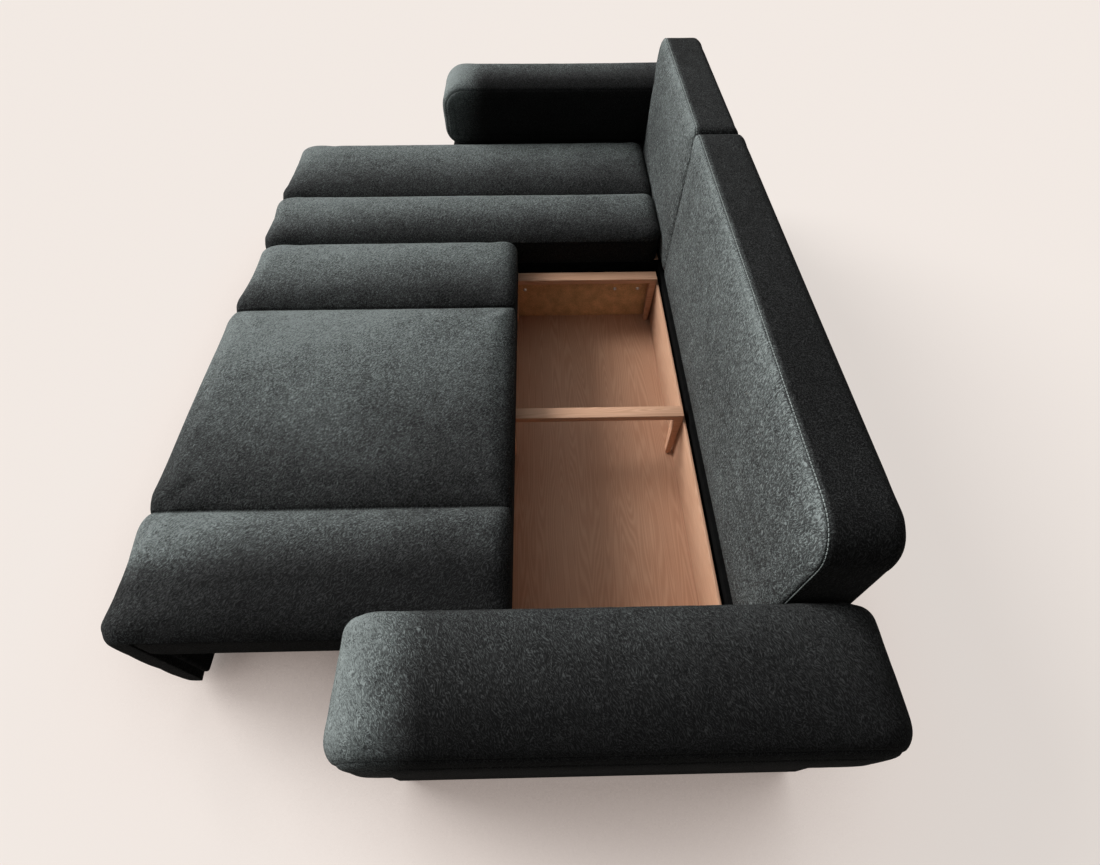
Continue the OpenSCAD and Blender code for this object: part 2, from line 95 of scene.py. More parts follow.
# Camera: place, turn and lens, as solved from straight edges
CAMERA_AT = (1.4285, 0.193, 1.7087)
CAMERA_PITCH, CAMERA_YAW, CAMERA_ROLL = (math.radians(a) for a in (54.41, 1.297, 0.167))
CAMERA_SENSOR = 36.0
CAMERA_LENS = 18.674

# Half the width of the studio floor
FLOOR_REACH = 30

# Face of the padded front, from the seam down to its foot: share of height, share of depth
FRONT_SHARES = ((1, 0.83), (0.9, 0.93), (0.74, 0.985), (0.58, 1), (0.4, 0.99), (0.22, 0.95),
                (0.12, 0.9), (0.04, 0.79), (0, 0.64), (0, 0.12), (0.03, 0.02), (0.08, 0))


class SofaSizes(bpy.types.PropertyGroup):
    """Sizes of the covers"""

    shoulder: FloatProperty(name="Shoulder", description="Width of the rounded shoulder beside a channel seam",
                            default=0.062, unit="LENGTH")
    seam_drop: FloatProperty(name="Seam drop", description="Depth that a channel seam is sewn down",
                             default=0.030, unit="LENGTH")
    seam_in: FloatProperty(name="Seam draw", description="Depth that a channel seam is drawn in at the front",
                           default=0.018, unit="LENGTH")
    seam_rear_in: FloatProperty(name="Rear seam draw", description="Depth that a channel seam is drawn in at the rear",
                                default=0.012, unit="LENGTH")
    front_edge: FloatProperty(name="Front edge", description="Radius of the seats' front edge",
                              default=0.095, unit="LENGTH")
    rear_edge: FloatProperty(name="Rear edge", description="Radius of the seats' rear and side edges",
                             default=0.045, unit="LENGTH")
    front_depth: FloatProperty(name="Front depth", description="Thickness of the padded front",
                               default=0.105, unit="LENGTH")
    front_end: FloatProperty(name="Front end", description="Radius of the padded front's ends",
                             default=0.044, unit="LENGTH")
    front_low: FloatProperty(name="Front clearance", description="Height of the padded front above the floor",
                             default=0.045, unit="LENGTH")
    crown: FloatProperty(name="Crown", description="Rise of a channel towards its middle",
                         default=0.014, unit="LENGTH")
    arm_edge: FloatProperty(name="Arm edge", description="Radius of the arms' long edges",
                            default=0.032, unit="LENGTH")
    arm_top: FloatProperty(name="Arm upper corner", description="Radius of the arms' upper corners",
                           default=0.090, unit="LENGTH")
    arm_low: FloatProperty(name="Arm lower corner", description="Radius of the arms' lower corners",
                           default=0.064, unit="LENGTH")
    back_corner: FloatProperty(name="Back corner", description="Radius of the backrests' outer upper corners",
                               default=0.088, unit="LENGTH")
    back_edge: FloatProperty(name="Back front edge", description="Radius of the backrests' front edges",
                             default=0.013, unit="LENGTH")
    back_rear_edge: FloatProperty(name="Back rear edge", description="Radius of the backrests' rear edges",
                                  default=0.036, unit="LENGTH")
    wood_ease: FloatProperty(name="Wood easing", description="Width of the easing on wooden edges",
                             default=0.0012, unit="LENGTH")
    stitch_pitch: FloatProperty(name="Stitch pitch", description="Distance from one stitch to the next",
                                default=0.0085, unit="LENGTH")
    stitch_thick: FloatProperty(name="Thread", description="Radius of the sewing thread",
                                default=0.0011, unit="LENGTH")


class SofaColours(bpy.types.PropertyGroup):
    """Colours of the finishes"""

    # The pile's tone runs from cloth_dark to cloth_light, set by its painted light and shade and by its hairs.
    cloth_dark: FloatVectorProperty(name="Cloth, dark", description="Shaded pile of the cover",
                                    subtype="COLOR", size=3, default=(0.0060, 0.0062, 0.0062))
    cloth_light: FloatVectorProperty(name="Cloth, light", description="Raised pile of the cover",
                                     subtype="COLOR", size=3, default=(0.250, 0.280, 0.272))
    pine_light: FloatVectorProperty(name="Pine, light", description="Early wood",
                                    subtype="COLOR", size=3, default=(0.70, 0.425, 0.28))
    pine_dark: FloatVectorProperty(name="Pine, dark", description="Late wood",
                                   subtype="COLOR", size=3, default=(0.52, 0.275, 0.165))
    board: FloatVectorProperty(name="Hardboard", description="End boards of the box",
                               subtype="COLOR", size=3, default=(0.64, 0.42, 0.22))
    floor: FloatVectorProperty(name="Floor", description="Floor of the studio",
                               subtype="COLOR", size=3, default=(0.88, 0.81, 0.76))


# ---------------------------------------------------------------- shapes


def mix(a, b, t):
    """The value at share t of the way from a to b."""
    return a + (b - a) * t


def swell(t):
    """A rise from 0 at both ends to 1 in the middle."""
    return 4 * t * (1 - t)


def edge_in(k, n, r):
    """How far step k of n round an edge of radius r has moved in."""
    return r * (1 - math.cos(QUARTER * k / n))


def edge_full(k, n):
    """The share of full height at step k of n round an edge."""
    return math.sin(QUARTER * k / n)


def smooth_points(points, count):
    """Evenly spaced points on a smooth curve through the given ones."""
    p = np.array(points, float)
    p = np.vstack([2 * p[0] - p[1], p, 2 * p[-1] - p[-2]])
    fine = []
    for i in range(1, len(p) - 2):
        a, b, c, d = p[i - 1:i + 3]
        for t in np.linspace(0, 1, 24, endpoint=False):
            fine.append(0.5 * (2 * b + (c - a) * t + (2 * a - 5 * b + 4 * c - d) * t * t
                               + (3 * b - a - 3 * c + d) * t ** 3))
    fine.append(p[-2])
    fine = np.array(fine)
    run = np.concatenate([[0], np.cumsum(np.linalg.norm(np.diff(fine, axis=0), axis=1))])
    at = np.linspace(0, run[-1], count)
    return np.column_stack([np.interp(at, run, fine[:, i]) for i in range(fine.shape[1])])


def merged(mesh):
    """A mesh opened for editing, with its coinciding points made one."""
    bm = bmesh.new()
    bm.from_mesh(mesh)
    bmesh.ops.remove_doubles(bm, verts=bm.verts, dist=MERGE)
    return bm


def face_out(mesh):
    """Turns a closed mesh's faces outwards."""
    bm = bmesh.new()
    bm.from_mesh(mesh)
    bmesh.ops.recalc_face_normals(bm, faces=bm.faces)
    bm.to_mesh(mesh)
    bm.free()


def new_piece(name, points, faces):
    """A smooth-shaded mesh object whose faces point outwards."""
    mesh = bpy.data.meshes.new(name)
    mesh.from_pydata([tuple(p) for p in points], [], faces)
    face_out(mesh)
    mesh.validate()
    for poly in mesh.polygons:
        poly.use_smooth = True
    piece = bpy.data.objects.new(name, mesh)
    bpy.context.scene.collection.objects.link(piece)
    return piece


def plain(piece):
    """The piece with its modifiers made part of its mesh."""
    bpy.context.view_layer.update()
    shaped = piece.evaluated_get(bpy.context.evaluated_depsgraph_get())
    done = bpy.data.meshes.new_from_object(shaped)
    piece.modifiers.clear()
    old = piece.data
    piece.data = done
    done.name = piece.name
    bpy.data.meshes.remove(old)
    return piece


def refine(piece):
    """The piece with its surface divided once and smoothed."""
    smooth = piece.modifiers.new("Subdivision", "SUBSURF")
    smooth.levels = smooth.render_levels = 1
    return plain(piece)


def places(piece):
    """The points of a piece, one in each row."""
    co = np.empty(len(piece.data.vertices) * 3)
    piece.data.vertices.foreach_get("co", co)
    return co.reshape(-1, 3)


def put(piece, co):
    """Moves the points of a piece to the given places."""
    piece.data.vertices.foreach_set("co", np.asarray(co, float).ravel())
    piece.data.update()


def facing(piece):
    """The outward direction at each point of a piece."""
    normals = np.empty(len(piece.data.vertices) * 3)
    piece.data.vertices.foreach_get("normal", normals)
    return normals.reshape(-1, 3)


def puff(piece, held, pressure, cap, slack):
    """Fills a sewn cover by cloth simulation: held vertices stay, and none moves further than the cap."""
    start = places(piece)
    group = piece.vertex_groups.new(name="held")
    for i, weight in enumerate(held):
        if weight > 0:
            group.add([i], float(weight), "REPLACE")
    cloth = piece.modifiers.new("Cloth", "CLOTH")
    s = cloth.settings
    s.quality = 6
    s.mass = 0.02
    s.air_damping = 3
    s.tension_stiffness = s.compression_stiffness = 25
    s.shear_stiffness = 8
    s.bending_stiffness = 0.8
    s.vertex_group_mass = group.name
    s.shrink_min = -slack
    s.use_pressure = True
    s.uniform_pressure_force = pressure
    s.effector_weights.gravity = 0
    cloth.collision_settings.use_collision = False
    cloth.point_cache.frame_start = 1
    cloth.point_cache.frame_end = FRAMES
    scene = bpy.context.scene
    for number in range(1, FRAMES + 1):
        scene.frame_set(number)
    shaped = piece.evaluated_get(bpy.context.evaluated_depsgraph_get())
    co = np.empty(len(shaped.data.vertices) * 3)
    shaped.data.vertices.foreach_get("co", co)
    move = np.nan_to_num(co.reshape(-1, 3) - start)
    far = np.linalg.norm(move, axis=1, keepdims=True)
    move *= np.tanh(far / cap) * cap / np.maximum(far, 1e-9)
    piece.modifiers.clear()
    piece.vertex_groups.clear()
    scene.frame_set(1)
    put(piece, start + move)


# ---------------------------------------------------------------- finishes


def feed(tree, spot, value):
    """Gives an input its value, or links it."""
    if isinstance(value, bpy.types.NodeSocket):
        tree.links.new(value, spot)
    else:
        spot.default_value = value


def join(tree, kind, settings=(), **inputs):
    """A new node, with its settings and its inputs' values or links."""
    node = tree.nodes.new(kind)
    for key, value in dict(settings).items():
        setattr(node, key, value)
    for key, value in inputs.items():
        feed(tree, node.inputs[key.replace("_", " ")], value)
    return node


def maths(tree, operation, a, b=None, clamp=False):
    """The result of a sum on one or two values or links."""
    node = join(tree, "ShaderNodeMath", {"operation": operation, "use_clamp": clamp})
    for spot, value in zip(node.inputs, (a, b)):
        if value is not None:
            feed(tree, spot, value)
    return node.outputs[0]


def blend_colour(tree, kind, factor, a, b):
    """Two colours blended by a factor."""
    node = tree.nodes.new("ShaderNodeMix")
    node.data_type = "RGBA"
    node.blend_type = kind
    node.clamp_result = True
    for spot, value in ((node.inputs["Factor"], factor), (node.inputs[6], a), (node.inputs[7], b)):
        if isinstance(value, bpy.types.NodeSocket):
            tree.links.new(value, spot)
        elif hasattr(value, "__len__"):
            spot.default_value = (*value[:3], 1)
        else:
            spot.default_value = value
    return node.outputs[2]


def spread(tree, value, low, high, to_low=0.0, to_high=1.0):
    """A value carried from one range to another and held within it."""
    node = join(tree, "ShaderNodeMapRange", {"clamp": True}, Value=value, From_Min=low, From_Max=high,
                To_Min=to_low, To_Max=to_high)
    return node.outputs["Result"]


def noise(tree, vector, scale, detail=2.0, rough=0.5, twist=0.0):
    """Grey noise at the given places."""
    node = join(tree, "ShaderNodeTexNoise", Vector=vector, Scale=scale, Detail=detail, Roughness=rough,
                Distortion=twist)
    return node.outputs["Fac"]


def group_of(name, inputs, outputs):
    """A new shader node group with its named sockets, and its two end nodes."""
    tree = bpy.data.node_groups.new(name, "ShaderNodeTree")
    for label, kind, value in inputs:
        socket = tree.interface.new_socket(label, in_out="INPUT", socket_type=kind)
        if value is not None:
            socket.default_value = value
    for label, kind in outputs:
        tree.interface.new_socket(label, in_out="OUTPUT", socket_type=kind)
    return tree, tree.nodes.new("NodeGroupInput"), tree.nodes.new("NodeGroupOutput")


def nap_group():
    """Brushed pile: fine crossing hairs over a mottled ground, with patches where the pile lies another way, as bright
    as the painted light and shade it is given.
    """
    tree, start, end = group_of(
        "Brushed pile",
        [("Lay", "NodeSocketFloat", 0.4), ("Turn", "NodeSocketVector", (0.0, 0.0, 0.6)),
         ("Hairs", "NodeSocketFloat", 1.0), ("Fine", "NodeSocketFloat", 1.0),
         ("Dark", "NodeSocketColor", (0.02, 0.02, 0.02, 1)), ("Light", "NodeSocketColor", (0.1, 0.1, 0.1, 1))],
        [("Color", "NodeSocketColor"), ("Roughness", "NodeSocketFloat"), ("Height", "NodeSocketFloat")])
    at = tree.nodes.new("ShaderNodeTexCoord").outputs["Object"]
    curl = join(tree, "ShaderNodeTexNoise", Vector=at, Scale=34.0, Detail=1.0)
    shift = join(tree, "ShaderNodeVectorMath", {"operation": "MULTIPLY_ADD"})
    shift.inputs[1].default_value = (0.022, 0.022, 0.022)
    tree.links.new(curl.outputs["Color"], shift.inputs[0])
    tree.links.new(at, shift.inputs[2])
    fine = join(tree, "ShaderNodeVectorMath", {"operation": "SCALE"}, Scale=start.outputs["Fine"])
    tree.links.new(shift.outputs[0], fine.inputs[0])
    first = join(tree, "ShaderNodeMapping", Vector=fine.outputs[0], Rotation=start.outputs["Turn"])
    hairs = None
    for turn, wide in (((0.0, 0.0, 0.0), 330.0), ((0.5, 0.3, 1.05), 370.0), ((-0.4, 0.5, -0.9), 300.0)):
        lay_and_painted_light = join(tree, "ShaderNodeMapping", Vector=first.outputs[0], Rotation=turn,
                   Scale=(wide * 0.24, wide, wide))
        found = spread(tree, noise(tree, lay_and_painted_light.outputs[0], 1.0, 1.0, 0.5), 0.55, 0.74)
        hairs = found if hairs is None else maths(tree, "MAXIMUM", hairs, found)
    hairs = maths(tree, "MULTIPLY", hairs, start.outputs["Hairs"])
    ground = noise(tree, at, 190.0, 3.0, 0.7, 0.5)
    clump = noise(tree, at, 26.0, 3.0, 0.6, 0.5)
    patch_low = noise(tree, at, 3.2, 3.0, 0.55, 0.6)
    uneven = maths(tree, "ADD", spread(tree, ground, 0.34, 0.66, 0.34, 1.20),
                   spread(tree, clump, 0.3, 0.7, -0.16, 0.16))
    uneven = maths(tree, "ADD", uneven, spread(tree, patch_low, 0.34, 0.66, -0.12, 0.20))
    # The pile's tone follows the painted light and shade given to it.
    tone = maths(tree, "MULTIPLY", maths(tree, "MAXIMUM", start.outputs["Lay"], 0.02), 0.62)
    tone = maths(tree, "MULTIPLY", tone, uneven)
    glint = maths(tree, "MULTIPLY", maths(tree, "ADD", maths(tree, "MULTIPLY", tone, 2.3), 0.06), hairs)
    tone = maths(tree, "ADD", tone, glint, True)
    grey = join(tree, "ShaderNodeRGBToBW", Color=start.outputs["Light"])
    light = blend_colour(tree, "MIX", spread(tree, tone, 0.05, 0.4), grey.outputs[0], start.outputs["Light"])
    tree.links.new(blend_colour(tree, "MIX", tone, start.outputs["Dark"], light), end.inputs["Color"])
    tree.links.new(spread(tree, tone, 0.1, 0.9, 0.95, 0.75), end.inputs["Roughness"])
    height = maths(tree, "ADD", maths(tree, "MULTIPLY", hairs, 0.8), maths(tree, "MULTIPLY", ground, 1.1))
    tree.links.new(height, end.inputs["Height"])
    return tree


def grain_group():
    """Softwood grain along the piece's X axis after the turn: rings, pores and paler patches."""
    tree, start, end = group_of(
        "Softwood grain",
        [("Turn", "NodeSocketVector", (0.0, 0.0, 0.0)), ("Rings", "NodeSocketFloat", 60.0),
         ("Early", "NodeSocketColor", (0.6, 0.4, 0.2, 1)), ("Late", "NodeSocketColor", (0.4, 0.2, 0.1, 1))],
        [("Color", "NodeSocketColor"), ("Roughness", "NodeSocketFloat"), ("Height", "NodeSocketFloat")])
    at = tree.nodes.new("ShaderNodeTexCoord").outputs["Object"]
    turn = join(tree, "ShaderNodeMapping", Vector=at, Rotation=start.outputs["Turn"])
    long = join(tree, "ShaderNodeMapping", Vector=turn.outputs[0], Scale=(0.06, 1.0, 1.0))
    bend = noise(tree, long.outputs[0], 9.0, 2.0, 0.5, 0.4)
    rings = maths(tree, "ADD", noise(tree, long.outputs[0], 22.0, 1.0, 0.4, 0.2), bend)
    rings = maths(tree, "MULTIPLY", rings, start.outputs["Rings"])
    band = maths(tree, "ABSOLUTE", maths(tree, "SINE", rings))
    thin = join(tree, "ShaderNodeMapping", Vector=turn.outputs[0], Scale=(0.03, 1.0, 1.0))
    pore = noise(tree, thin.outputs[0], 900.0, 3.0, 0.6)
    tone = maths(tree, "ADD", maths(tree, "MULTIPLY", maths(tree, "POWER", band, 1.6), 0.55),
                 maths(tree, "MULTIPLY", pore, 0.32))
    tone = maths(tree, "ADD", tone, spread(tree, noise(tree, at, 4.0, 2.0), 0.3, 0.7, -0.12, 0.14), True)
    colour = blend_colour(tree, "MIX", tone, start.outputs["Early"], start.outputs["Late"])
    tree.links.new(colour, end.inputs["Color"])
    tree.links.new(spread(tree, tone, 0.0, 1.0, 0.62, 0.46), end.inputs["Roughness"])
    tree.links.new(maths(tree, "SUBTRACT", 1.0, maths(tree, "MULTIPLY", tone, 0.8)), end.inputs["Height"])
    return tree


def surface(name, slot, specular):
    """A new material with its Principled shader."""
    material = bpy.data.materials.new(name)
    material.use_nodes = True
    shader = material.node_tree.nodes["Principled BSDF"]
    shader.inputs["Specular IOR Level"].default_value = specular
    material["slot"] = slot
    return material, material.node_tree, shader


def use_group(tree, group, **values):
    """A node group placed in a material, with its own values."""
    node = tree.nodes.new("ShaderNodeGroup")
    node.node_tree = group
    for key, value in values.items():
        spot = node.inputs[key]
        spot.default_value = (*value, 1) if spot.type == "RGBA" else value
    return node


def bump(tree, shader, height, depth, strength):
    """Raises the shaded surface by a height, up to a depth."""
    node = join(tree, "ShaderNodeBump", Height=height, Distance=depth, Strength=strength)
    tree.links.new(node.outputs[0], shader.inputs["Normal"])


def stored(tree, name):
    """The value that a mesh stores at each point under a name."""
    return join(tree, "ShaderNodeAttribute", {"attribute_name": name}).outputs["Fac"]


def cover_cloth(name, colours, nap, turn, hairs, fine, seam_dark):
    """Velour cover: pile by the nap group, lit and shaded by painted light and shade stored on the mesh, with its sewn
    lines pressed in and stitched.
    """
    material, tree, shader = surface(name, "cloth", 0.03)
    pile = use_group(tree, nap, Turn=turn, Hairs=hairs, Fine=fine,
                     Dark=tuple(colours.cloth_dark), Light=tuple(colours.cloth_light))
    # Painted light and shade, stored on the mesh, sets the pile's tone.
    tree.links.new(stored(tree, "pile_lay"), pile.inputs["Lay"])
    sewn = spread(tree, maths(tree, "ABSOLUTE", stored(tree, "sewn_line")), 0.0006, 0.0030, 1.0, 0.0)
    wave = maths(tree, "SINE", maths(tree, "MULTIPLY", stored(tree, "sewn_run"), 900.0))
    pressed = maths(tree, "MULTIPLY", sewn, spread(tree, wave, -0.3, 0.3, 0.55, 1.0))
    colour = blend_colour(tree, "MULTIPLY", maths(tree, "MULTIPLY", pressed, seam_dark),
                          pile.outputs["Color"], (0.12, 0.12, 0.12))
    tree.links.new(colour, shader.inputs["Base Color"])
    tree.links.new(pile.outputs["Roughness"], shader.inputs["Roughness"])
    height = maths(tree, "SUBTRACT", maths(tree, "MULTIPLY", pile.outputs["Height"], 0.8),
                   maths(tree, "MULTIPLY", pressed, 1.2))
    bump(tree, shader, height, depth=0.0013, strength=0.9)
    shader.inputs["Sheen Weight"].default_value = 0.02
    shader.inputs["Sheen Roughness"].default_value = 0.34
    shader.inputs["Sheen Tint"].default_value = (0.80, 0.89, 0.87, 1)
    return material


def pine(name, colours, grain, turn=(0.0, 0.0, 0.0), shade=1.0):
    """Planed softwood with its grain turned, its colour scaled by shade: painted light above 1, painted shade below.
    """
    material, tree, shader = surface(name, "pine", 0.35)
    wood = use_group(tree, grain, Turn=turn, Early=tuple(c * shade for c in colours.pine_light),
                     Late=tuple(c * shade for c in colours.pine_dark))
    tree.links.new(wood.outputs["Color"], shader.inputs["Base Color"])
    tree.links.new(wood.outputs["Roughness"], shader.inputs["Roughness"])
    bump(tree, shader, wood.outputs["Height"], depth=0.0003, strength=0.6)
    return material


def speckled(name, slot, colour, amount, scale, rough, metal=0.0, specular=0.4, depth=0.0002):
    """A finish with a fine uneven tone: board, plastic, plated steel, foam or lining."""
    material, tree, shader = surface(name, slot, specular)
    at = tree.nodes.new("ShaderNodeTexCoord").outputs["Object"]
    fine = noise(tree, at, scale, 4.0, 0.6, 0.3)
    wide = noise(tree, at, scale * 0.06, 2.0, 0.5)
    tone = maths(tree, "ADD", maths(tree, "MULTIPLY", fine, 0.65), maths(tree, "MULTIPLY", wide, 0.35))
    low = tuple(c * (1 - amount) for c in colour)
    high = tuple(min(1.0, c * (1 + amount)) for c in colour)
    shown = blend_colour(tree, "MIX", spread(tree, tone, 0.35, 0.65), low, high)
    tree.links.new(shown, shader.inputs["Base Color"])
    tree.links.new(spread(tree, fine, 0.3, 0.7, rough - 0.08, rough + 0.08), shader.inputs["Roughness"])
    shader.inputs["Metallic"].default_value = metal
    bump(tree, shader, fine, depth, strength=0.7)
    return material


finishes = {}


def make_finishes():
    """All materials of the sofa, kept by the names that the pieces ask for."""
    colours = bpy.context.scene.sofa_colours
    nap, grain = nap_group(), grain_group()
    across = (0.0, 0.0, QUARTER)
    finishes["seat"] = cover_cloth("velour_seat", colours, nap, (0.0, 0.0, 0.7), hairs=1.15, fine=1.2, seam_dark=0.7)
    finishes["arm"] = cover_cloth("velour_arm", colours, nap, (0.0, 0.0, -0.5), hairs=1.35, fine=1.5, seam_dark=0.4)
    finishes["back"] = cover_cloth("velour_back", colours, nap, (0.0, QUARTER, 0.0), hairs=1.6, fine=1.15,
                                   seam_dark=0.45)
    finishes["pine_x"] = pine("pine_long", colours, grain)
    finishes["pine_y"] = pine("pine_cross", colours, grain, across)
    # Lit and shaded copies of the pine: painted light on the bars, painted shade on the box's walls and floor.
    finishes["pine_bar"] = pine("pine_bar", colours, grain, across, shade=1.06)
    finishes["pine_wall"] = pine("pine_wall", colours, grain, shade=0.8)
    finishes["board"] = speckled("brown_board", "hardboard", tuple(colours.board), 0.35, 420.0, 0.55)
    # Black lining near to no light at all: its own black, and painted shade on the unlit sides and gaps it covers.
    finishes["lining"] = speckled("black_lining", "lining", (0.0045, 0.0046, 0.0046), 0.5, 700.0, 0.95,
                                  specular=0.03)
    finishes["foam"] = speckled("foam", "foam", (0.72, 0.66, 0.46), 0.12, 900.0, 0.95, specular=0.1, depth=0.0006)
    finishes["steel"] = speckled("plated_steel", "steel", (0.62, 0.62, 0.63), 0.08, 240.0, 0.32, metal=1.0)
    finishes["thread"] = speckled("sewing_thread", "cloth", (0.27, 0.30, 0.29), 0.3, 1200.0, 0.7, specular=0.2)
    finishes["plastic"] = speckled("black_plastic", "plastic", (0.016, 0.016, 0.018), 0.2, 500.0, 0.45)


def dress(piece, finish):
    """Gives a piece one finish."""
    piece.data.materials.clear()
    piece.data.materials.append(finishes[finish])
    for poly in piece.data.polygons:
        poly.material_index = 0


def sew(piece, distance, run=None, lay_and_painted_light=None):
    """Stores each point's distance from the nearest sewn line, its run along that line and the painted light and shade
    of its pile.
    """
    count = len(distance)
    # Without given values the pile gets a low level: painted shade that keeps bands, boxes and boards dark.
    for name, values in (("sewn_line", distance), ("sewn_run", np.zeros(count) if run is None else run),
                         ("pile_lay", np.full(count, 0.012) if lay_and_painted_light is None else lay_and_painted_light)):
        mark = piece.data.attributes.new(name, "FLOAT", "POINT")
        mark.data.foreach_set("value", np.asarray(values, np.float32))


def ramp(value, low, high):
    """Smooth step from 0 at low to 1 at high."""
    t = np.clip((value - low) / (high - low), 0, 1)
    return t * t * (3 - 2 * t)


def settle(piece, body, finish, nodes):
    """Finishes a piece: its sewn marks with the low painted shade where it has none, its material, its body and the
    CAD nodes that it stands for.
    """
    if "sewn_line" not in piece.data.attributes:
        sew(piece, [1.0] * len(piece.data.vertices))
    dress(piece, finish)
    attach(piece, body)
    if nodes:
        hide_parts(*nodes)
    return piece


# ---------------------------------------------------------------- seats


def seat_stations(marks, end, shoulder):
    """Places across a seat: x, fullness, whether it is an outer end, and crown."""
    stations = []
    last = len(marks) - 2
    for i in range(len(marks) - 1):
        xa, xb = marks[i], marks[i + 1]
        ra, rb = (end if i == 0 else shoulder), (end if i == last else shoulder)
        steps = 8
        found = [(xa + edge_in(k, steps, ra), edge_full(k, steps), i == 0)
                 for k in range(0 if i == 0 else 1, steps + 1)]
        count = max(2, round((xb - rb - xa - ra) / PITCH))
        found += [(mix(xa + ra, xb - rb, m / count), 1.0, False) for m in range(1, count)]
        found += [(xb - edge_in(k, steps, rb), edge_full(k, steps), i == last) for k in range(steps, -1, -1)]
        stations += [(x, s, outer, swell((x - xa) / (xb - xa))) for x, s, outer in found]
    return stations


def hidden_side(over, turn, shoulder_end, rear_y, back_y, z0):
    """Underside of a seat's section, with a point for each point of the shown side."""
    tuck, step, fold, hem = 0.004, 0.02, 0.03, 0.01
    under = []
    for i in range(len(over)):
        if i <= turn:
            under.append((mix(rear_y - tuck, back_y + step, i / turn), z0))
        elif i <= shoulder_end:
            t = (i - turn) / (shoulder_end - turn)
            under.append((mix(back_y + step, back_y, min(1, 2 * t)), z0 - fold * max(0, 2 * t - 1)))
        else:
            t = (i - shoulder_end) / (len(over) - 1 - shoulder_end)
            under.append((back_y, mix(z0 - fold, over[-1][1] + hem, t)))
    return under


def seat_painted_light_and_shade(co, marks, low, high, pile):
    """Painted light and shade on a seat's cover: darker across each channel, towards the rear and down the front."""
    whole, far_share, last_share, last_turn, last_low, front_share = pile
    x, y, z = co.T
    edges = np.array(marks)
    channel = np.clip(np.searchsorted(marks, x, side="right") - 1, 0, len(marks) - 2)
    across = (x - edges[channel]) / (edges[channel + 1] - edges[channel])
    last = channel == len(marks) - 2
    painted_shade_across = ramp(across / np.where(last, last_turn, 1.0), 0.02, 0.98)
    lay_and_painted_light = mix(0.95, np.where(last, last_low, 0.15), painted_shade_across) * np.where(last, last_share, 1.0)
    lay_and_painted_light *= np.where(channel == 0, far_share, 1.0)
    front = mix(front_share, 1.0, ramp(y, low.y, low.y + 0.34))
    lay_and_painted_light = np.minimum(lay_and_painted_light * np.where(last, front, 1.0), 0.95)
    lay_and_painted_light *= mix(1.0, 0.66, ramp(y, mix(low.y, high.y, 0.45), high.y - 0.08))
    lay_and_painted_light *= mix(1.0, 0.35, ramp(y, high.y - 0.05, high.y))
    return lay_and_painted_light * mix(0.42, 1.0, ramp(z, low.z - 0.06, low.z + 0.03)) * whole


def seat_cover(name, top_node, front_node, seam_shares, corner, shut, bow, pile, body):
    """Quilted cover of a seat in one piece, from the rear seam over the top and down the padded front."""
    sizes = bpy.context.scene.sofa_sizes
    low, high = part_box(top_node)
    z0, y0, y1 = low.z, low.y, high.y
    rise_full = high.z - low.z - sizes.crown
    rf, rr = sizes.front_edge, sizes.rear_edge
    rear_steps, front_steps, face_points, hem_points = 6, 9, 27, 5
    back_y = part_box(front_node)[1].y
    marks = [low.x, *[mix(low.x, high.x, s) for s in seam_shares], high.x]
    face = smooth_points(FRONT_SHARES, face_points)
    across = max(20, round((y1 - y0 - rf - rr) / PITCH))
    turn = rear_steps + across
    shoulder_end = turn + front_steps + 1
    drop = z0 - sizes.front_low
    rings, held, line, along = [], [], [], []
    for x, s, outer, crown in seat_stations(marks, rr, sizes.shoulder):
        lack = 1 - s
        swing = mix(bow[0], bow[1], math.sin(math.pi * (x - low.x) / (high.x - low.x)))
        ya = y0 + lack * (corner if outer else sizes.seam_in) - swing
        yb = y1 - lack * (shut if outer else sizes.seam_rear_in)
        rise = rise_full * max(s, 0.05) if outer else rise_full - sizes.seam_drop * lack
        lift = sizes.crown * crown
        fill = sizes.front_depth - lack * (sizes.front_end if outer else sizes.seam_in) + swing
        over = [(yb - edge_in(k, rear_steps, rr), z0 + rise * edge_full(k, rear_steps))
                for k in range(rear_steps + 1)]
        over += [(mix(yb - rr, ya + rf, m / across), z0 + rise + lift * swell(m / across))
                 for m in range(1, across)]
        over += [(ya + edge_in(k, front_steps, rf), z0 + rise * edge_full(k, front_steps))
                 for k in range(front_steps, -1, -1)]
        over += [(back_y - depth * fill, sizes.front_low + height * drop) for height, depth in face[1:]]
        ring = over + hidden_side(over, turn, shoulder_end, yb, back_y, z0)[::-1]
        rings.append([(x, y, z) for y, z in ring])
        sewn = s < 1e-6
        held += [1.0 if sewn or i == 0 or i >= len(over) - hem_points else 0.0 for i in range(len(over))]
        held += [1.0] * len(over)
        line += [min((abs(x - m) for m in marks[1:-1]), default=1.0) for _ in ring]
        step = np.linalg.norm(np.diff(np.array(ring), axis=0), axis=1)
        along += [0.0, *np.cumsum(step)]
    count = len(rings[0])
    half = count // 2
    faces = []
    for i in range(len(rings) - 1):
        for j in range(count):
            a, b = i * count + j, i * count + (j + 1) % count
            faces.append((a, a + count, b + count, b))
    for start in (0, (len(rings) - 1) * count):
        for j in range(half - 1):
            faces.append((start + j, start + j + 1, start + count - 2 - j, start + count - 1 - j))
    piece = new_piece(name, [p for r in rings for p in r], faces)
    puff(piece, held, pressure=2.2, cap=0.008, slack=0.002)
    # pile gives the painted light and shade laid across the seat's channels.
    sew(piece, line, along, seat_painted_light_and_shade(places(piece), marks, low, high, pile))
    refine(piece)
    settle(piece, body, "seat", (top_node, front_node))
    return piece


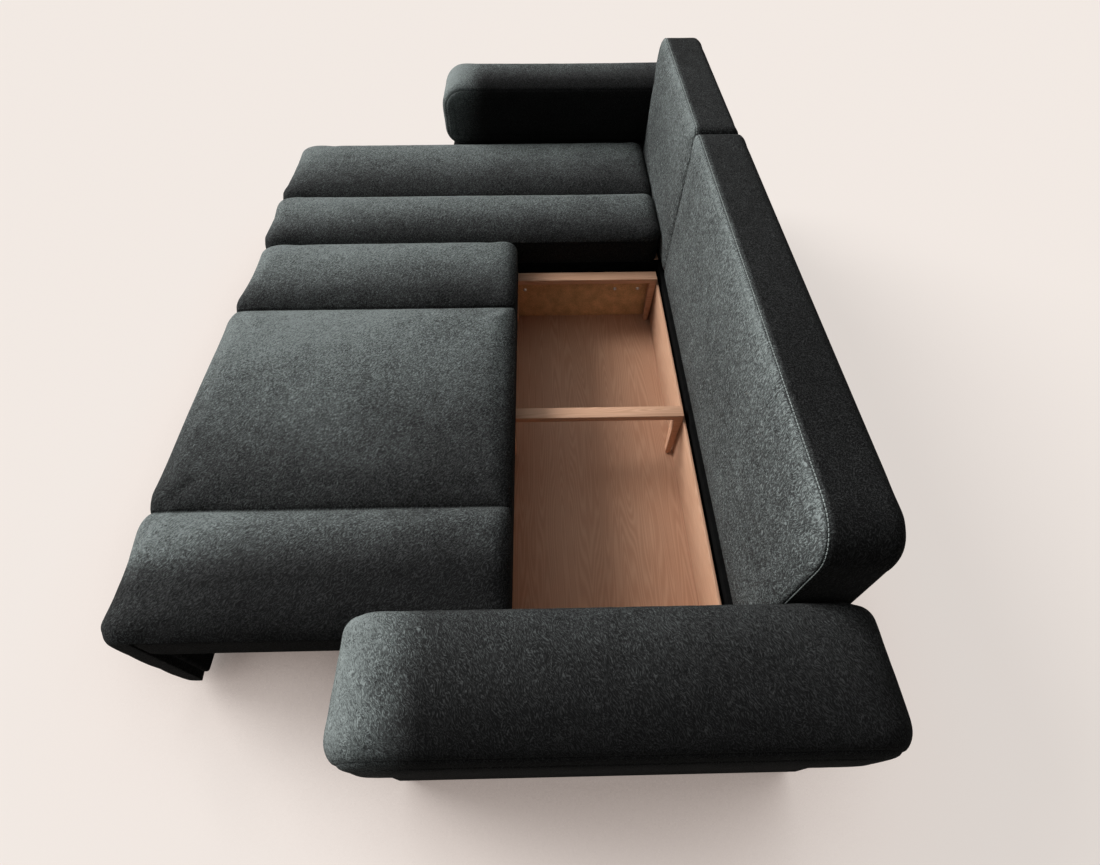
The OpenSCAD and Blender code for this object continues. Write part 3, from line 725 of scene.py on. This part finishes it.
def side_band(name, node, corner, body):
    """Upholstered border round a seat: a band with a soft belly, folded in above and below."""
    low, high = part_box(node)
    inside, under, steps = 0.012, 0.001, 8
    straight = max(8, round((high.y - low.y - corner) / BAND_PITCH))
    wide = max(8, round((high.x - low.x - 2 * corner) / BAND_PITCH))

    def bend(x, first):
        turns = [QUARTER * (first + k / steps) for k in range(1, steps + 1)]
        return [((x + corner * math.cos(a), high.y - corner + corner * math.sin(a)), (math.cos(a), math.sin(a)))
                for a in turns]

    path = [((high.x, mix(low.y, high.y - corner, i / straight)), (1, 0)) for i in range(straight + 1)]
    path += bend(high.x - corner, 0)
    path += [((mix(high.x - corner, low.x + corner, i / wide), high.y), (0, 1)) for i in range(1, wide + 1)]
    path += bend(low.x + corner, 1)
    path += [((low.x, mix(high.y - corner, low.y, i / straight)), (-1, 0)) for i in range(1, straight + 1)]
    tall = high.z - low.z
    section = [(-inside, 0.0), (-0.004, 0.0), (-0.0012, 0.0012), (0.0, 0.005)]
    section += [(0.0, tall * t) for t in (0.15, 0.3, 0.45, 0.6, 0.75, 0.88)]
    section += [(-0.0004, tall - 0.006), (-0.003, tall - 0.0015), (-0.006, tall), (-inside, tall)]
    rings = [[(x - under * nx + out * nx, y - under * ny + out * ny, low.z + up) for out, up in section]
             for (x, y), (nx, ny) in path]
    count = len(section)
    faces = [(i * count + j, (i + 1) * count + j, (i + 1) * count + (j + 1) % count, i * count + (j + 1) % count)
             for i in range(len(rings) - 1) for j in range(count)]
    faces += [tuple(range(count)), tuple((len(rings) - 1) * count + j for j in range(count))]
    piece = new_piece(name, [p for r in rings for p in r], faces)
    refine(piece)
    settle(piece, body, "seat", (node,))
    return piece


# ---------------------------------------------------------------- padded blocks


def side_points(low, high, radii, inset, counts):
    """Points round a rounded rectangle, on four sides that meet at the middles of its corners."""
    (p0, q0), (p1, q1) = low, high
    corners = ((p0, q0, 180, radii[0], 1, 1), (p1, q0, 270, radii[1], -1, 1), (p1, q1, 0, radii[2], -1, -1),
               (p0, q1, 90, radii[3], 1, -1))
    halves, half, step = [], 6, 7.5
    for p, q, first, radius, sp, sq in corners:
        r = max(radius - inset, LEAST_RADIUS)
        cp, cq = p + sp * (inset + r), q + sq * (inset + r)
        turns = [math.radians(first + step * k) for k in range(2 * half + 1)]
        arc = [(cp + r * math.cos(a), cq + r * math.sin(a)) for a in turns]
        halves.append((arc[:half + 1], arc[half:]))
    points = []
    for i in range(4):
        side = np.array(halves[i][1] + halves[(i + 1) % 4][0])
        run = np.concatenate([[0], np.cumsum(np.linalg.norm(np.diff(side, axis=0), axis=1))])
        n = counts[i % 2]
        at = np.linspace(0, run[-1], n + 1)[:-1]
        points += list(zip(np.interp(at, run, side[:, 0]), np.interp(at, run, side[:, 1])))
    return np.array(points)


def patch(outline, counts):
    """Rows of inner points that fill an outline of four sides."""
    nu, nv = counts
    bottom, right = outline[:nu + 1], outline[nu:nu + nv + 1]
    top = outline[nu + nv:2 * nu + nv + 1][::-1]
    left = np.vstack([outline[2 * nu + nv:], outline[:1]])[::-1]
    u = np.linspace(0, 1, nu + 1)[None, :, None]
    v = np.linspace(0, 1, nv + 1)[:, None, None]
    corner = ((1 - u) * (1 - v) * bottom[0] + u * (1 - v) * bottom[-1] + (1 - u) * v * top[0] + u * v * top[-1])
    return (1 - v) * bottom[None] + v * top[None] + (1 - u) * left[:, None] + u * right[:, None] - corner


def padded_block(name, low, high, radii, thick, edges, place, painted_light_and_shade_at, seam_row, pressure, cap, slack, both=True):
    """A block sewn from two face panels and a band, shaped by place from its outline and depth."""
    ra, rb = edges
    steps = 6
    rows = [(ra * (1 - edge_full(k, steps)), edge_in(k, steps, ra)) for k in range(steps + 1)]
    wide = max(2, round((thick - ra - rb) / PITCH))
    rows += [(0.0, mix(ra, thick - rb, m / wide)) for m in range(1, wide)]
    rows += [(rb * (1 - edge_full(k, steps)), thick - edge_in(k, steps, rb)) for k in range(steps, -1, -1)]
    sewn_rows = (seam_row, len(rows) - 1 - seam_row)
    counts = (round((high[0] - low[0]) / PITCH), round((high[1] - low[1]) / PITCH))
    nu, nv = counts
    count = 2 * (nu + nv)
    flat, faces, kinds = [], [], []
    for i, (inset, w) in enumerate(rows):
        flat += [(p, q, w) for p, q in side_points(low, high, radii, inset, counts)]
        kinds += [FIRST_SEAM if i == sewn_rows[0] else LAST_SEAM if i == sewn_rows[1] else BAND] * count
    for i in range(len(rows) - 1):
        for j in range(count):
            k = (j + 1) % count
            faces.append((i * count + j, i * count + k, (i + 1) * count + k, (i + 1) * count + j))
    for row, side in ((0, 1), (len(rows) - 1, -1)):
        base = row * count
        grid = patch(np.array([f[:2] for f in flat[base:base + count]]), counts)
        index = np.empty((nv + 1, nu + 1), int)
        index[0] = base + np.arange(nu + 1)
        index[:, -1] = base + nu + np.arange(nv + 1)
        index[-1] = base + nu + nv + np.arange(nu, -1, -1)
        index[:, 0] = base + (2 * nu + nv + np.arange(nv, -1, -1)) % count
        for j in range(1, nv):
            for i in range(1, nu):
                index[j, i] = len(flat)
                flat.append((*grid[j, i], rows[row][1]))
                kinds.append(PANEL)
        for j in range(nv):
            for i in range(nu):
                quad = (index[j, i], index[j + 1, i], index[j + 1, i + 1], index[j, i + 1])
                faces.append(tuple(int(q) for q in quad[::side]))
    piece = new_piece(name, [place(p, q, w, thick) for p, q, w in flat], faces)
    kinds = np.array(kinds)
    held = [1.0 if kind < BAND or f[1] < low[1] + FOOT else 0.0 for kind, f in zip(kinds, flat)]
    puff(piece, held, pressure, cap, slack)
    co = places(piece)
    furthest, between = 0.03, 8
    line, along = np.full(len(co), furthest), np.zeros(len(co))
    on_panels = (np.arange(len(co)) < count * seam_row) | (np.arange(len(co)) >= count * (len(rows) - seam_row))
    inner = (kinds == PANEL) | ((kinds == BAND) & on_panels)
    for kind in (FIRST_SEAM, LAST_SEAM) if both else (FIRST_SEAM,):
        ring = co[kinds == kind]
        steps_on = np.linspace(0, 1, between, endpoint=False)
        dense = np.concatenate([ring + (np.roll(ring, -1, axis=0) - ring) * t for t in steps_on])
        length = np.linalg.norm(np.roll(ring, -1, axis=0) - ring, axis=1)
        start = np.concatenate([[0], np.cumsum(length)[:-1]])
        runs = np.concatenate([start + length * t for t in steps_on])
        near = KDTree(len(dense))
        for i, c in enumerate(dense):
            near.insert(c, i)
        near.balance()
        for i, c in enumerate(co):
            _, spot, away = near.find(c)
            if inner[i]:
                away = -away
            if abs(away) < abs(line[i]):
                line[i], along[i] = away, runs[spot]
    sew(piece, line, along, painted_light_and_shade_at(co))
    refine(piece)
    ring = np.flatnonzero(kinds == FIRST_SEAM)
    return piece, np.append(ring[nu:], ring[0])


def press_seams(piece, depth, width):
    """Draws the cover in along its sewn lines."""
    data = np.empty(len(piece.data.vertices), np.float32)
    piece.data.attributes["sewn_line"].data.foreach_get("value", data)
    put(piece, places(piece) - facing(piece) * (depth * np.exp(-(data / width) ** 2))[:, None])


def make_arm(name, node):
    """A padded arm: a sewn block with a domed top, whose outer edge is the softer one."""
    sizes = bpy.context.scene.sofa_sizes
    low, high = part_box(node)
    near = low.x > 0
    soft = sizes.arm_edge * 1.7
    give, dome = 0.001, 0.005
    middle = (low.z + high.z) / 2

    def place(p, q, w, thick):
        share = max(0.0, (q - middle) / (high.z - middle))
        return (low.x + w, p, q + dome * share * (swell(w / thick) - 1))

    # Painted light and shade on the arm: light on the front end and along the inner top edge, dark on the sides, lower
    # down and towards the rear, and more on the far arm.
    def painted_light_and_shade_at(co):
        inner = 1 - (co[:, 0] - low.x) / (high.x - low.x)
        front = 1 - ramp(co[:, 1], low.y, low.y + 0.19)
        up = ramp(co[:, 2], high.z - 0.10, high.z - 0.01)
        rear = mix(1.0, 0.5, ramp(co[:, 1], low.y + 0.45, high.y))
        wide = up * rear * (0.004 + 0.14 * ramp(inner, 0.1, 1.05)) * (1.0 if near else 4.2)
        return 0.006 + wide + 1.28 * front * mix(0.3, 1.0, up) * (1.0 if near else 1.3)

    radii = (sizes.arm_low, sizes.arm_low, sizes.arm_top, sizes.arm_top)
    edges = (sizes.arm_edge, soft) if near else (soft, sizes.arm_edge)
    piece, _ = padded_block(name, (low.y, low.z), (high.y, high.z - give), radii, high.x - low.x, edges, place, painted_light_and_shade_at,
                            seam_row=2, pressure=2.0, cap=0.005, slack=0.001)
    press_seams(piece, depth=0.0020, width=0.005)
    settle(piece, "base", "arm", (node,))


def make_backrest(name, node, round_low_x, round_high_x, top_t):
    """A padded backrest: a sewn block that gets thinner upwards, with stitches along its front seam."""
    sizes = bpy.context.scene.sofa_sizes
    low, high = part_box(node)
    lean, base_t = 0.006, high.y - low.y - 0.002
    front, rear = low.y + 0.004, high.y
    small, flush, shift, give, stitched_from = 0.022, 0.02, 0.016, 0.003, 0.04

    def place(p, q, w, thick):
        t = (q - low.z) / (high.z - low.z)
        a = front + lean * t
        b = mix(rear, front + lean + top_t, t * t)
        return (p, mix(a, b, w / thick), q)

    # Painted light and shade on the backrest: its front face lighter upwards, brightest just under the ridge and
    # darker at the foot, its top band dark and darker towards the near end, and the long one dimmed at its near end.
    def painted_light_and_shade_at(co):
        t = (co[:, 2] - low.z) / (high.z - low.z)
        off = co[:, 1] - (front + lean * t)
        face = 1 - ramp(off, 0.004, 0.016)
        near = ramp(co[:, 0], high.x - 0.5, high.x) if round_high_x else 0.0
        shown = mix(0.32, 0.48, ramp(t, 0.35, 0.95)) + 0.40 * ramp(t, 0.90, 1.0)
        shown *= mix(0.7, 1.0, ramp(t, 0.0, 0.25))
        top = mix(0.085, 0.004, ramp(co[:, 0], -0.6, 1.1))
        return mix(top, shown, face) * mix(1.0, 0.78, near)

    radii = (flush, flush, sizes.back_corner if round_high_x else small, sizes.back_corner if round_low_x else small)
    start_x = low.x + (shift if round_low_x else 0.0)
    piece, seam = padded_block(name, (start_x, low.z), (high.x, high.z - give), radii, base_t,
                               (sizes.back_edge, sizes.back_rear_edge), place, painted_light_and_shade_at,
                               seam_row=6, pressure=1.5, cap=0.006, slack=0.0, both=False)
    press_seams(piece, depth=0.0010, width=0.004)
    path, out = places(piece)[seam], facing(piece)[seam]
    shown = path[:, 2] > low.z + stitched_from
    stitch_row(name.replace("cover", "stitches"), path[shown], out[shown])
    settle(piece, "base", "back", (node,))


# ---------------------------------------------------------------- repeated details


def outward(tree):
    """The outward direction that the points of a mesh carry."""
    out = join(tree, "GeometryNodeInputNamedAttribute", {"data_type": "FLOAT_VECTOR"}, Name="outward")
    return next(o for o in out.outputs if o.enabled and o.name == "Attribute")


def repeat_tree(name, inputs, build):
    """A geometry tree with named inputs that repeats one detail over the points of a mesh."""
    tree = bpy.data.node_groups.new(name, "GeometryNodeTree")
    tree.interface.new_socket("Geometry", in_out="INPUT", socket_type="NodeSocketGeometry")
    for label, kind in inputs:
        tree.interface.new_socket(label, in_out="INPUT", socket_type=kind)
    tree.interface.new_socket("Material", in_out="INPUT", socket_type="NodeSocketMaterial")
    tree.interface.new_socket("Geometry", in_out="OUTPUT", socket_type="NodeSocketGeometry")
    start, end = tree.nodes.new("NodeGroupInput"), tree.nodes.new("NodeGroupOutput")
    placed = build(tree, start)
    real = join(tree, "GeometryNodeRealizeInstances", Geometry=placed)
    dressed = join(tree, "GeometryNodeSetMaterial", Geometry=real.outputs[0], Material=start.outputs["Material"])
    tree.links.new(dressed.outputs[0], end.inputs[0])
    return tree


def stitches(tree, start):
    """Small arched threads along the edges of a mesh, laid along it and facing outward."""
    line = join(tree, "GeometryNodeMeshToCurve", Mesh=start.outputs["Geometry"])
    way = join(tree, "GeometryNodeResampleCurve", {"mode": "LENGTH"}, Curve=line.outputs[0],
               Length=start.outputs["Pitch"])
    back, ahead = (join(tree, "ShaderNodeCombineXYZ", X=maths(tree, "MULTIPLY", start.outputs["Length"], share))
                   for share in (-0.5, 0.5))
    middle = join(tree, "ShaderNodeCombineXYZ", Z=start.outputs["Rise"])
    arch = join(tree, "GeometryNodeCurveQuadraticBezier", Resolution=5, Start=back.outputs[0],
                Middle=middle.outputs[0], End=ahead.outputs[0])
    ring = join(tree, "GeometryNodeCurvePrimitiveCircle", Resolution=6, Radius=start.outputs["Thickness"])
    thread = join(tree, "GeometryNodeCurveToMesh", Curve=arch.outputs[0], Profile_Curve=ring.outputs[0],
                  Fill_Caps=True)
    along = join(tree, "FunctionNodeAlignRotationToVector", {"axis": "X"},
                 Vector=tree.nodes.new("GeometryNodeInputTangent").outputs[0])
    stood = join(tree, "FunctionNodeAlignRotationToVector", {"axis": "Z", "pivot_axis": "X"},
                 Rotation=along.outputs[0], Vector=outward(tree))
    return join(tree, "GeometryNodeInstanceOnPoints", Points=way.outputs[0], Instance=thread.outputs[0],
                Rotation=stood.outputs[0]).outputs[0]


def heads(tree, start):
    """The head of a bolt on every point of a mesh, facing outward."""
    head = join(tree, "GeometryNodeObjectInfo", Object=start.outputs["Head"])
    stood = join(tree, "FunctionNodeAlignRotationToVector", {"axis": "Z"}, Vector=outward(tree))
    return join(tree, "GeometryNodeInstanceOnPoints", Points=start.outputs["Geometry"],
                Instance=head.outputs["Geometry"], Rotation=stood.outputs[0]).outputs[0]


def repeated(name, tree, values, points, edges, out, finish):
    """A plain mesh made by a geometry tree over points with an outward direction."""
    mesh = bpy.data.meshes.new(name)
    mesh.from_pydata([tuple(p) for p in points], edges, [])
    facings = mesh.attributes.new("outward", "FLOAT_VECTOR", "POINT")
    facings.data.foreach_set("vector", np.asarray(out, np.float32).ravel())
    piece = bpy.data.objects.new(name, mesh)
    bpy.context.scene.collection.objects.link(piece)
    maker = piece.modifiers.new("Repeat", "NODES")
    maker.node_group = tree
    for item in tree.interface.items_tree:
        if item.in_out == "INPUT" and item.name != "Geometry":
            maker[item.identifier] = finishes[finish] if item.name == "Material" else values[item.name]
    plain(piece)
    spent = piece.data.attributes.get("outward")
    if spent is not None:
        piece.data.attributes.remove(spent)
    face_out(piece.data)
    return piece


def stitch_row(name, path, out):
    """A row of stitches along a sewn path of the fixed part."""
    sizes = bpy.context.scene.sofa_sizes
    tree = bpy.data.node_groups.get("Row of stitches") or repeat_tree("Row of stitches", [
        (label, "NodeSocketFloat") for label in ("Pitch", "Length", "Thickness", "Rise")], stitches)
    values = {"Pitch": sizes.stitch_pitch, "Length": sizes.stitch_pitch * 0.72, "Thickness": sizes.stitch_thick,
              "Rise": sizes.stitch_thick * 1.6}
    piece = repeated(name, tree, values, path, [(i, i + 1) for i in range(len(path) - 1)], out, "thread")
    piece.data.shade_smooth()
    return settle(piece, "base", "thread", ())


def bolt_head(radius, tall):
    """A domed head with a hexagon socket, standing on its rim."""
    outline = [(0.0, radius), (tall * 0.28, radius), (tall * 0.55, radius * 0.9), (tall * 0.82, radius * 0.72),
               (tall, radius * 0.5)]
    socket = [(tall * 0.97, radius * 0.42), (tall * 0.35, radius * 0.40)]
    points, faces, sides = [], [], 24
    for up, wide in outline:
        points += [(wide * math.cos(math.tau * k / sides), wide * math.sin(math.tau * k / sides), up)
                   for k in range(sides)]
    for up, wide in socket:
        for k in range(sides):
            a = math.tau * k / sides
            flat = wide * math.cos(math.pi / 6) / math.cos((a % (math.pi / 3)) - math.pi / 6)
            points.append((flat * math.cos(a), flat * math.sin(a), up))
    rows = len(outline) + len(socket)
    for i in range(rows - 1):
        faces += [(i * sides + k, i * sides + (k + 1) % sides, (i + 1) * sides + (k + 1) % sides, (i + 1) * sides + k)
                  for k in range(sides)]
    faces += [tuple(range(sides))[::-1], tuple((rows - 1) * sides + k for k in range(sides))]
    piece = new_piece("bolt_head", points, faces)
    piece.data.set_sharp_from_angle(angle=math.radians(40))
    return piece


def make_bolts():
    """Domed bolts in place of the solid ones, on the far end board of the box."""
    bm = merged(frame["nodes"]["box_bolts"].data)
    left, spots = set(bm.verts), []
    while left:
        island, edge = set(), [next(iter(left))]
        while edge:
            v = edge.pop()
            if v in island:
                continue
            island.add(v)
            edge += [e.other_vert(v) for e in v.link_edges]
        left -= island
        co = np.array([v.co for v in island])
        spots.append((co.min(axis=0), co.max(axis=0)))
    bm.free()
    spots.sort(key=lambda s: tuple(s[0]))
    first, end = spots[0]
    head = bolt_head((end[1] - first[1]) / 2, end[0] - first[0])
    tree = repeat_tree("Bolts on points", [("Head", "NodeSocketObject")], heads)
    points = [(a[0], (a[1] + b[1]) / 2, (a[2] + b[2]) / 2) for a, b in spots]
    piece = repeated("bolt_heads", tree, {"Head": head}, points, [], [(1.0, 0.0, 0.0)] * len(points), "steel")
    bpy.data.objects.remove(head)
    settle(piece, "base", "steel", ("box_bolts",))


# ---------------------------------------------------------------- woodwork and fittings


def eased(node, finish, width, segments=2):
    """A CAD node with its edges eased, standing for the node."""
    source = frame["nodes"][node]
    piece = bpy.data.objects.new(node + "_eased", source.data.copy())
    bpy.context.scene.collection.objects.link(piece)
    bm = merged(piece.data)
    bmesh.ops.dissolve_limit(bm, angle_limit=math.radians(0.5), verts=bm.verts, edges=bm.edges)
    bm.to_mesh(piece.data)
    bm.free()
    bevel = piece.modifiers.new("Easing", "BEVEL")
    bevel.width = width
    bevel.segments = segments
    bevel.limit_method = "ANGLE"
    bevel.angle_limit = math.radians(35)
    bevel.harden_normals = False
    plain(piece)
    piece.data.shade_smooth()
    piece.data.set_sharp_from_angle(angle=math.radians(30))
    body = next(b for b, ns in frame["record"]["behaviour"]["bodies"].items() if node in ns)
    settle(piece, body, finish, (node,))
    return piece


# ---------------------------------------------------------------- stage


def seen_rays(tree):
    """1 for rays that show something to the eye, 0 for rays that only carry light."""
    path = tree.nodes.new("ShaderNodeLightPath")
    direct = maths(tree, "MAXIMUM", path.outputs["Is Camera Ray"], path.outputs["Is Glossy Ray"])
    return maths(tree, "MAXIMUM", direct, path.outputs["Is Transmission Ray"])


def finish_shader(tree, lit, shown, output):
    """Ends a tree with one shader for rays that carry light and another for rays that are seen."""
    final = tree.nodes.new("ShaderNodeMixShader")
    tree.links.new(seen_rays(tree), final.inputs[0])
    tree.links.new(lit.outputs[0], final.inputs[1])
    tree.links.new(shown.outputs[0], final.inputs[2])
    tree.links.new(final.outputs[0], tree.nodes.new(output).inputs["Surface"])


def dimmed(colour, share):
    """A colour made darker, as a node takes it."""
    return (*(c * share for c in colour[:3]), 1)


def make_floor(scene, colour):
    """Pale floor that keeps the sofa's shadow and throws little light back; its glow carries painted shade, darker and
    warmer where ambient occlusion finds the sofa close.
    """
    mesh = bpy.data.meshes.new("studio_floor")
    r = FLOOR_REACH
    mesh.from_pydata([(-r, -r, 0), (r, -r, 0), (r, r, 0), (-r, r, 0)], [], [(0, 1, 2, 3)])
    floor = bpy.data.objects.new("studio_floor", mesh)
    scene.collection.objects.link(floor)
    material = bpy.data.materials.new("studio_floor")
    material.use_nodes = True
    tree = material.node_tree
    tree.nodes.clear()
    dim = join(tree, "ShaderNodeBsdfDiffuse", Color=dimmed(colour, 0.10))
    shade = join(tree, "ShaderNodeBsdfDiffuse", Color=dimmed(colour, 0.29))
    hollow = join(tree, "ShaderNodeAmbientOcclusion", {"samples": 8}, Distance=0.55).outputs["AO"]
    # Painted shade: the glow darkens and turns warmer where ambient occlusion finds the sofa close.
    painted_shade_tint = blend_colour(tree, "MIX", spread(tree, hollow, 0.3, 1.0), (0.88, 0.70, 0.62), colour)
    glow_with_painted_shade = join(tree, "ShaderNodeEmission", Color=painted_shade_tint, Strength=spread(tree, hollow, 0.25, 0.85, 0.02, 0.74))
    shown = tree.nodes.new("ShaderNodeAddShader")
    tree.links.new(shade.outputs[0], shown.inputs[0])
    tree.links.new(glow_with_painted_shade.outputs[0], shown.inputs[1])
    finish_shader(tree, dim, shown, "ShaderNodeOutputMaterial")
    mesh.materials.append(material)


def make_world(scene, colour):
    """Plain background, and a dim sky that is brighter on one side."""
    world = bpy.data.worlds.new("studio")
    scene.world = world
    world.use_nodes = True
    tree = world.node_tree
    tree.nodes.clear()
    way = tree.nodes.new("ShaderNodeTexCoord").outputs["Generated"]
    side = join(tree, "ShaderNodeVectorMath", {"operation": "DOT_PRODUCT"})
    side.inputs[1].default_value = (-0.62, -0.55, 0.56)
    tree.links.new(way, side.inputs[0])
    level = spread(tree, side.outputs["Value"], -0.1, 0.9, 0.03, 0.55)
    light_sky = join(tree, "ShaderNodeBackground", Color=(0.96, 0.98, 1.0, 1), Strength=level)
    seen_sky = join(tree, "ShaderNodeBackground", Color=colour, Strength=1.0)
    finish_shader(tree, light_sky, seen_sky, "ShaderNodeOutputWorld")


def make_lamp(scene):
    """One soft sun, from the front and the far side."""
    data = bpy.data.lights.new("key_light", "SUN")
    data.energy = SUN_STRENGTH
    data.angle = SUN_SPREAD
    lamp = bpy.data.objects.new("key_light", data)
    lamp.rotation_euler = Vector(SUN_WAY).to_track_quat("-Z", "Y").to_euler()
    scene.collection.objects.link(lamp)


def make_camera(scene):
    """The photograph's camera."""
    data = bpy.data.cameras.new("camera")
    data.sensor_width = CAMERA_SENSOR
    data.lens = CAMERA_LENS
    data.clip_start = 0.05
    camera = bpy.data.objects.new("camera", data)
    pitch, yaw, roll = CAMERA_PITCH, CAMERA_YAW, CAMERA_ROLL
    ahead = Vector((-math.cos(pitch) * math.cos(yaw), math.cos(pitch) * math.sin(yaw), -math.sin(pitch)))
    right = Vector((math.sin(yaw), math.cos(yaw), 0.0))
    up = Vector((-math.sin(pitch) * math.cos(yaw), math.sin(pitch) * math.sin(yaw), math.cos(pitch)))
    across = math.cos(roll) * right + math.sin(roll) * up
    above = -math.sin(roll) * right + math.cos(roll) * up
    turn = Matrix((across, above, -ahead)).transposed().to_4x4()
    camera.matrix_world = Matrix.Translation(CAMERA_AT) @ turn
    scene.collection.objects.link(camera)
    scene.camera = camera


# ---------------------------------------------------------------- operators


class SOFA_OT_finishes(bpy.types.Operator):
    """Make the materials of the sofa"""

    bl_idname = "sofa.finishes"
    bl_label = "Finishes"

    def execute(self, context):
        make_finishes()
        return {"FINISHED"}


class SOFA_OT_seat(bpy.types.Operator):
    """Make the cover and the border of the pull-out seat"""

    bl_idname = "sofa.seat"
    bl_label = "Pull-out seat"

    def execute(self, context):
        seat_cover("seat_cover", "seat_top", "seat_front", seam_shares=(0.243, 0.77), corner=0.068, shut=0.060,
                   bow=(-0.014, 0.009), pile=SEAT_PAINTED_LIGHT_AND_SHADE, body="seat")
        side_band("seat_band", "seat_border", corner=0.060, body="seat")
        return {"FINISHED"}


class SOFA_OT_chaise(bpy.types.Operator):
    """Make the cover and the border of the chaise"""

    bl_idname = "sofa.chaise"
    bl_label = "Chaise"

    def execute(self, context):
        seat_cover("chaise_cover", "chaise_top", "chaise_front", seam_shares=(0.572,), corner=0.048, shut=0.048,
                   bow=(-0.001, 0.008), pile=CHAISE_PAINTED_LIGHT_AND_SHADE, body="base")
        side_band("chaise_band", "chaise_border", corner=0.048, body="base")
        return {"FINISHED"}


class SOFA_OT_arms(bpy.types.Operator):
    """Make the padded arms and their covered boxes"""

    bl_idname = "sofa.arms"
    bl_label = "Arms"

    def execute(self, context):
        for side in ("near", "far"):
            make_arm(f"arm_{side}_cover", f"arm_{side}")
            eased(f"arm_box_{side}", "arm", width=0.006, segments=3)
        return {"FINISHED"}


class SOFA_OT_backrests(bpy.types.Operator):
    """Make the two padded backrests and the covered panel behind them"""

    bl_idname = "sofa.backrests"
    bl_label = "Backrests"

    def execute(self, context):
        make_backrest("backrest_long_cover", "backrest_long", round_low_x=False, round_high_x=True, top_t=0.161)
        make_backrest("backrest_short_cover", "backrest_short", round_low_x=True, round_high_x=False, top_t=0.149)
        eased("back_panel", "back", width=0.005, segments=3)
        return {"FINISHED"}


class SOFA_OT_woodwork(bpy.types.Operator):
    """Finish the frames, the storage box and the boards"""

    bl_idname = "sofa.woodwork"
    bl_label = "Woodwork"

    def execute(self, context):
        width = context.scene.sofa_sizes.wood_ease
        for node in ("box_wall_front", "box_wall_rear", "box_floor"):
            eased(node, "pine_wall", width)
        for node in ("bearers", "chaise_slats", "seat_slats",
                     "castor_blocks", "back_plate_long", "back_plate_short", "chaise_ends"):
            eased(node, "pine_x", width)
        for node in ("portal_far", "portal_middle", "portal_near"):
            eased(node, "pine_bar", width)
        for node in ("seat_frame", "chaise_frame"):
            eased(node, "pine_y", width)
        for node in ("box_end_far", "box_end_near"):
            eased(node, "board", width / 2)
        for node in ("chaise_side_near", "chaise_side_far", "back_liner", "back_beam"):
            eased(node, "lining", width)
        eased("front_board", "seat", width=0.008, segments=4)
        for node in ("seat_foam", "chaise_foam"):
            eased(node, "foam", width * 2)
        return {"FINISHED"}


class SOFA_OT_fittings(bpy.types.Operator):
    """Finish the castors, feet, glides and bolts"""

    bl_idname = "sofa.fittings"
    bl_label = "Fittings"

    def execute(self, context):
        eased("feet", "plastic", 0.002)
        eased("glides", "plastic", 0.0008)
        eased("castor_forks", "steel", 0.0004)
        eased("castor_axles", "steel", 0.0006)
        make_bolts()
        for node in ("castor_wheel_far", "castor_wheel_middle", "castor_wheel_near"):
            eased(node, "plastic", 0.0006)
        return {"FINISHED"}


class SOFA_OT_stage(bpy.types.Operator):
    """Make the floor, the lamps, the world and the camera"""

    bl_idname = "sofa.stage"
    bl_label = "Stage"

    def execute(self, context):
        scene = context.scene
        colour = (*scene.sofa_colours.floor, 1)
        make_floor(scene, colour)
        make_world(scene, colour)
        make_lamp(scene)
        make_camera(scene)
        scene.view_settings.view_transform = "Standard"
        return {"FINISHED"}


class SOFA_PT_panel(bpy.types.Panel):
    """Lists the sizes, the colours and the steps"""

    bl_idname = "SOFA_PT_panel"
    bl_label = "Storage sofa"
    bl_space_type = "VIEW_3D"
    bl_region_type = "UI"
    bl_category = "Sofa"

    def draw(self, context):
        for group in (context.scene.sofa_sizes, context.scene.sofa_colours):
            for key in group.__annotations__:
                self.layout.prop(group, key)
        for step in STEPS:
            self.layout.operator(step.bl_idname)


STEPS = (SOFA_OT_finishes, SOFA_OT_stage, SOFA_OT_seat, SOFA_OT_chaise, SOFA_OT_arms, SOFA_OT_backrests,
         SOFA_OT_woodwork, SOFA_OT_fittings)
CLASSES = (SofaSizes, SofaColours, *STEPS, SOFA_PT_panel)


def register():
    for each in CLASSES:
        bpy.utils.register_class(each)
    bpy.types.Scene.sofa_sizes = PointerProperty(type=SofaSizes)
    bpy.types.Scene.sofa_colours = PointerProperty(type=SofaColours)


def unregister():
    del bpy.types.Scene.sofa_colours
    del bpy.types.Scene.sofa_sizes
    for each in reversed(CLASSES):
        bpy.utils.unregister_class(each)


def main():
    register()
    for step in STEPS:
        group, name = step.bl_idname.split(".")
        getattr(getattr(bpy.ops, group), name)()


if __name__ == "__main__":
    main()
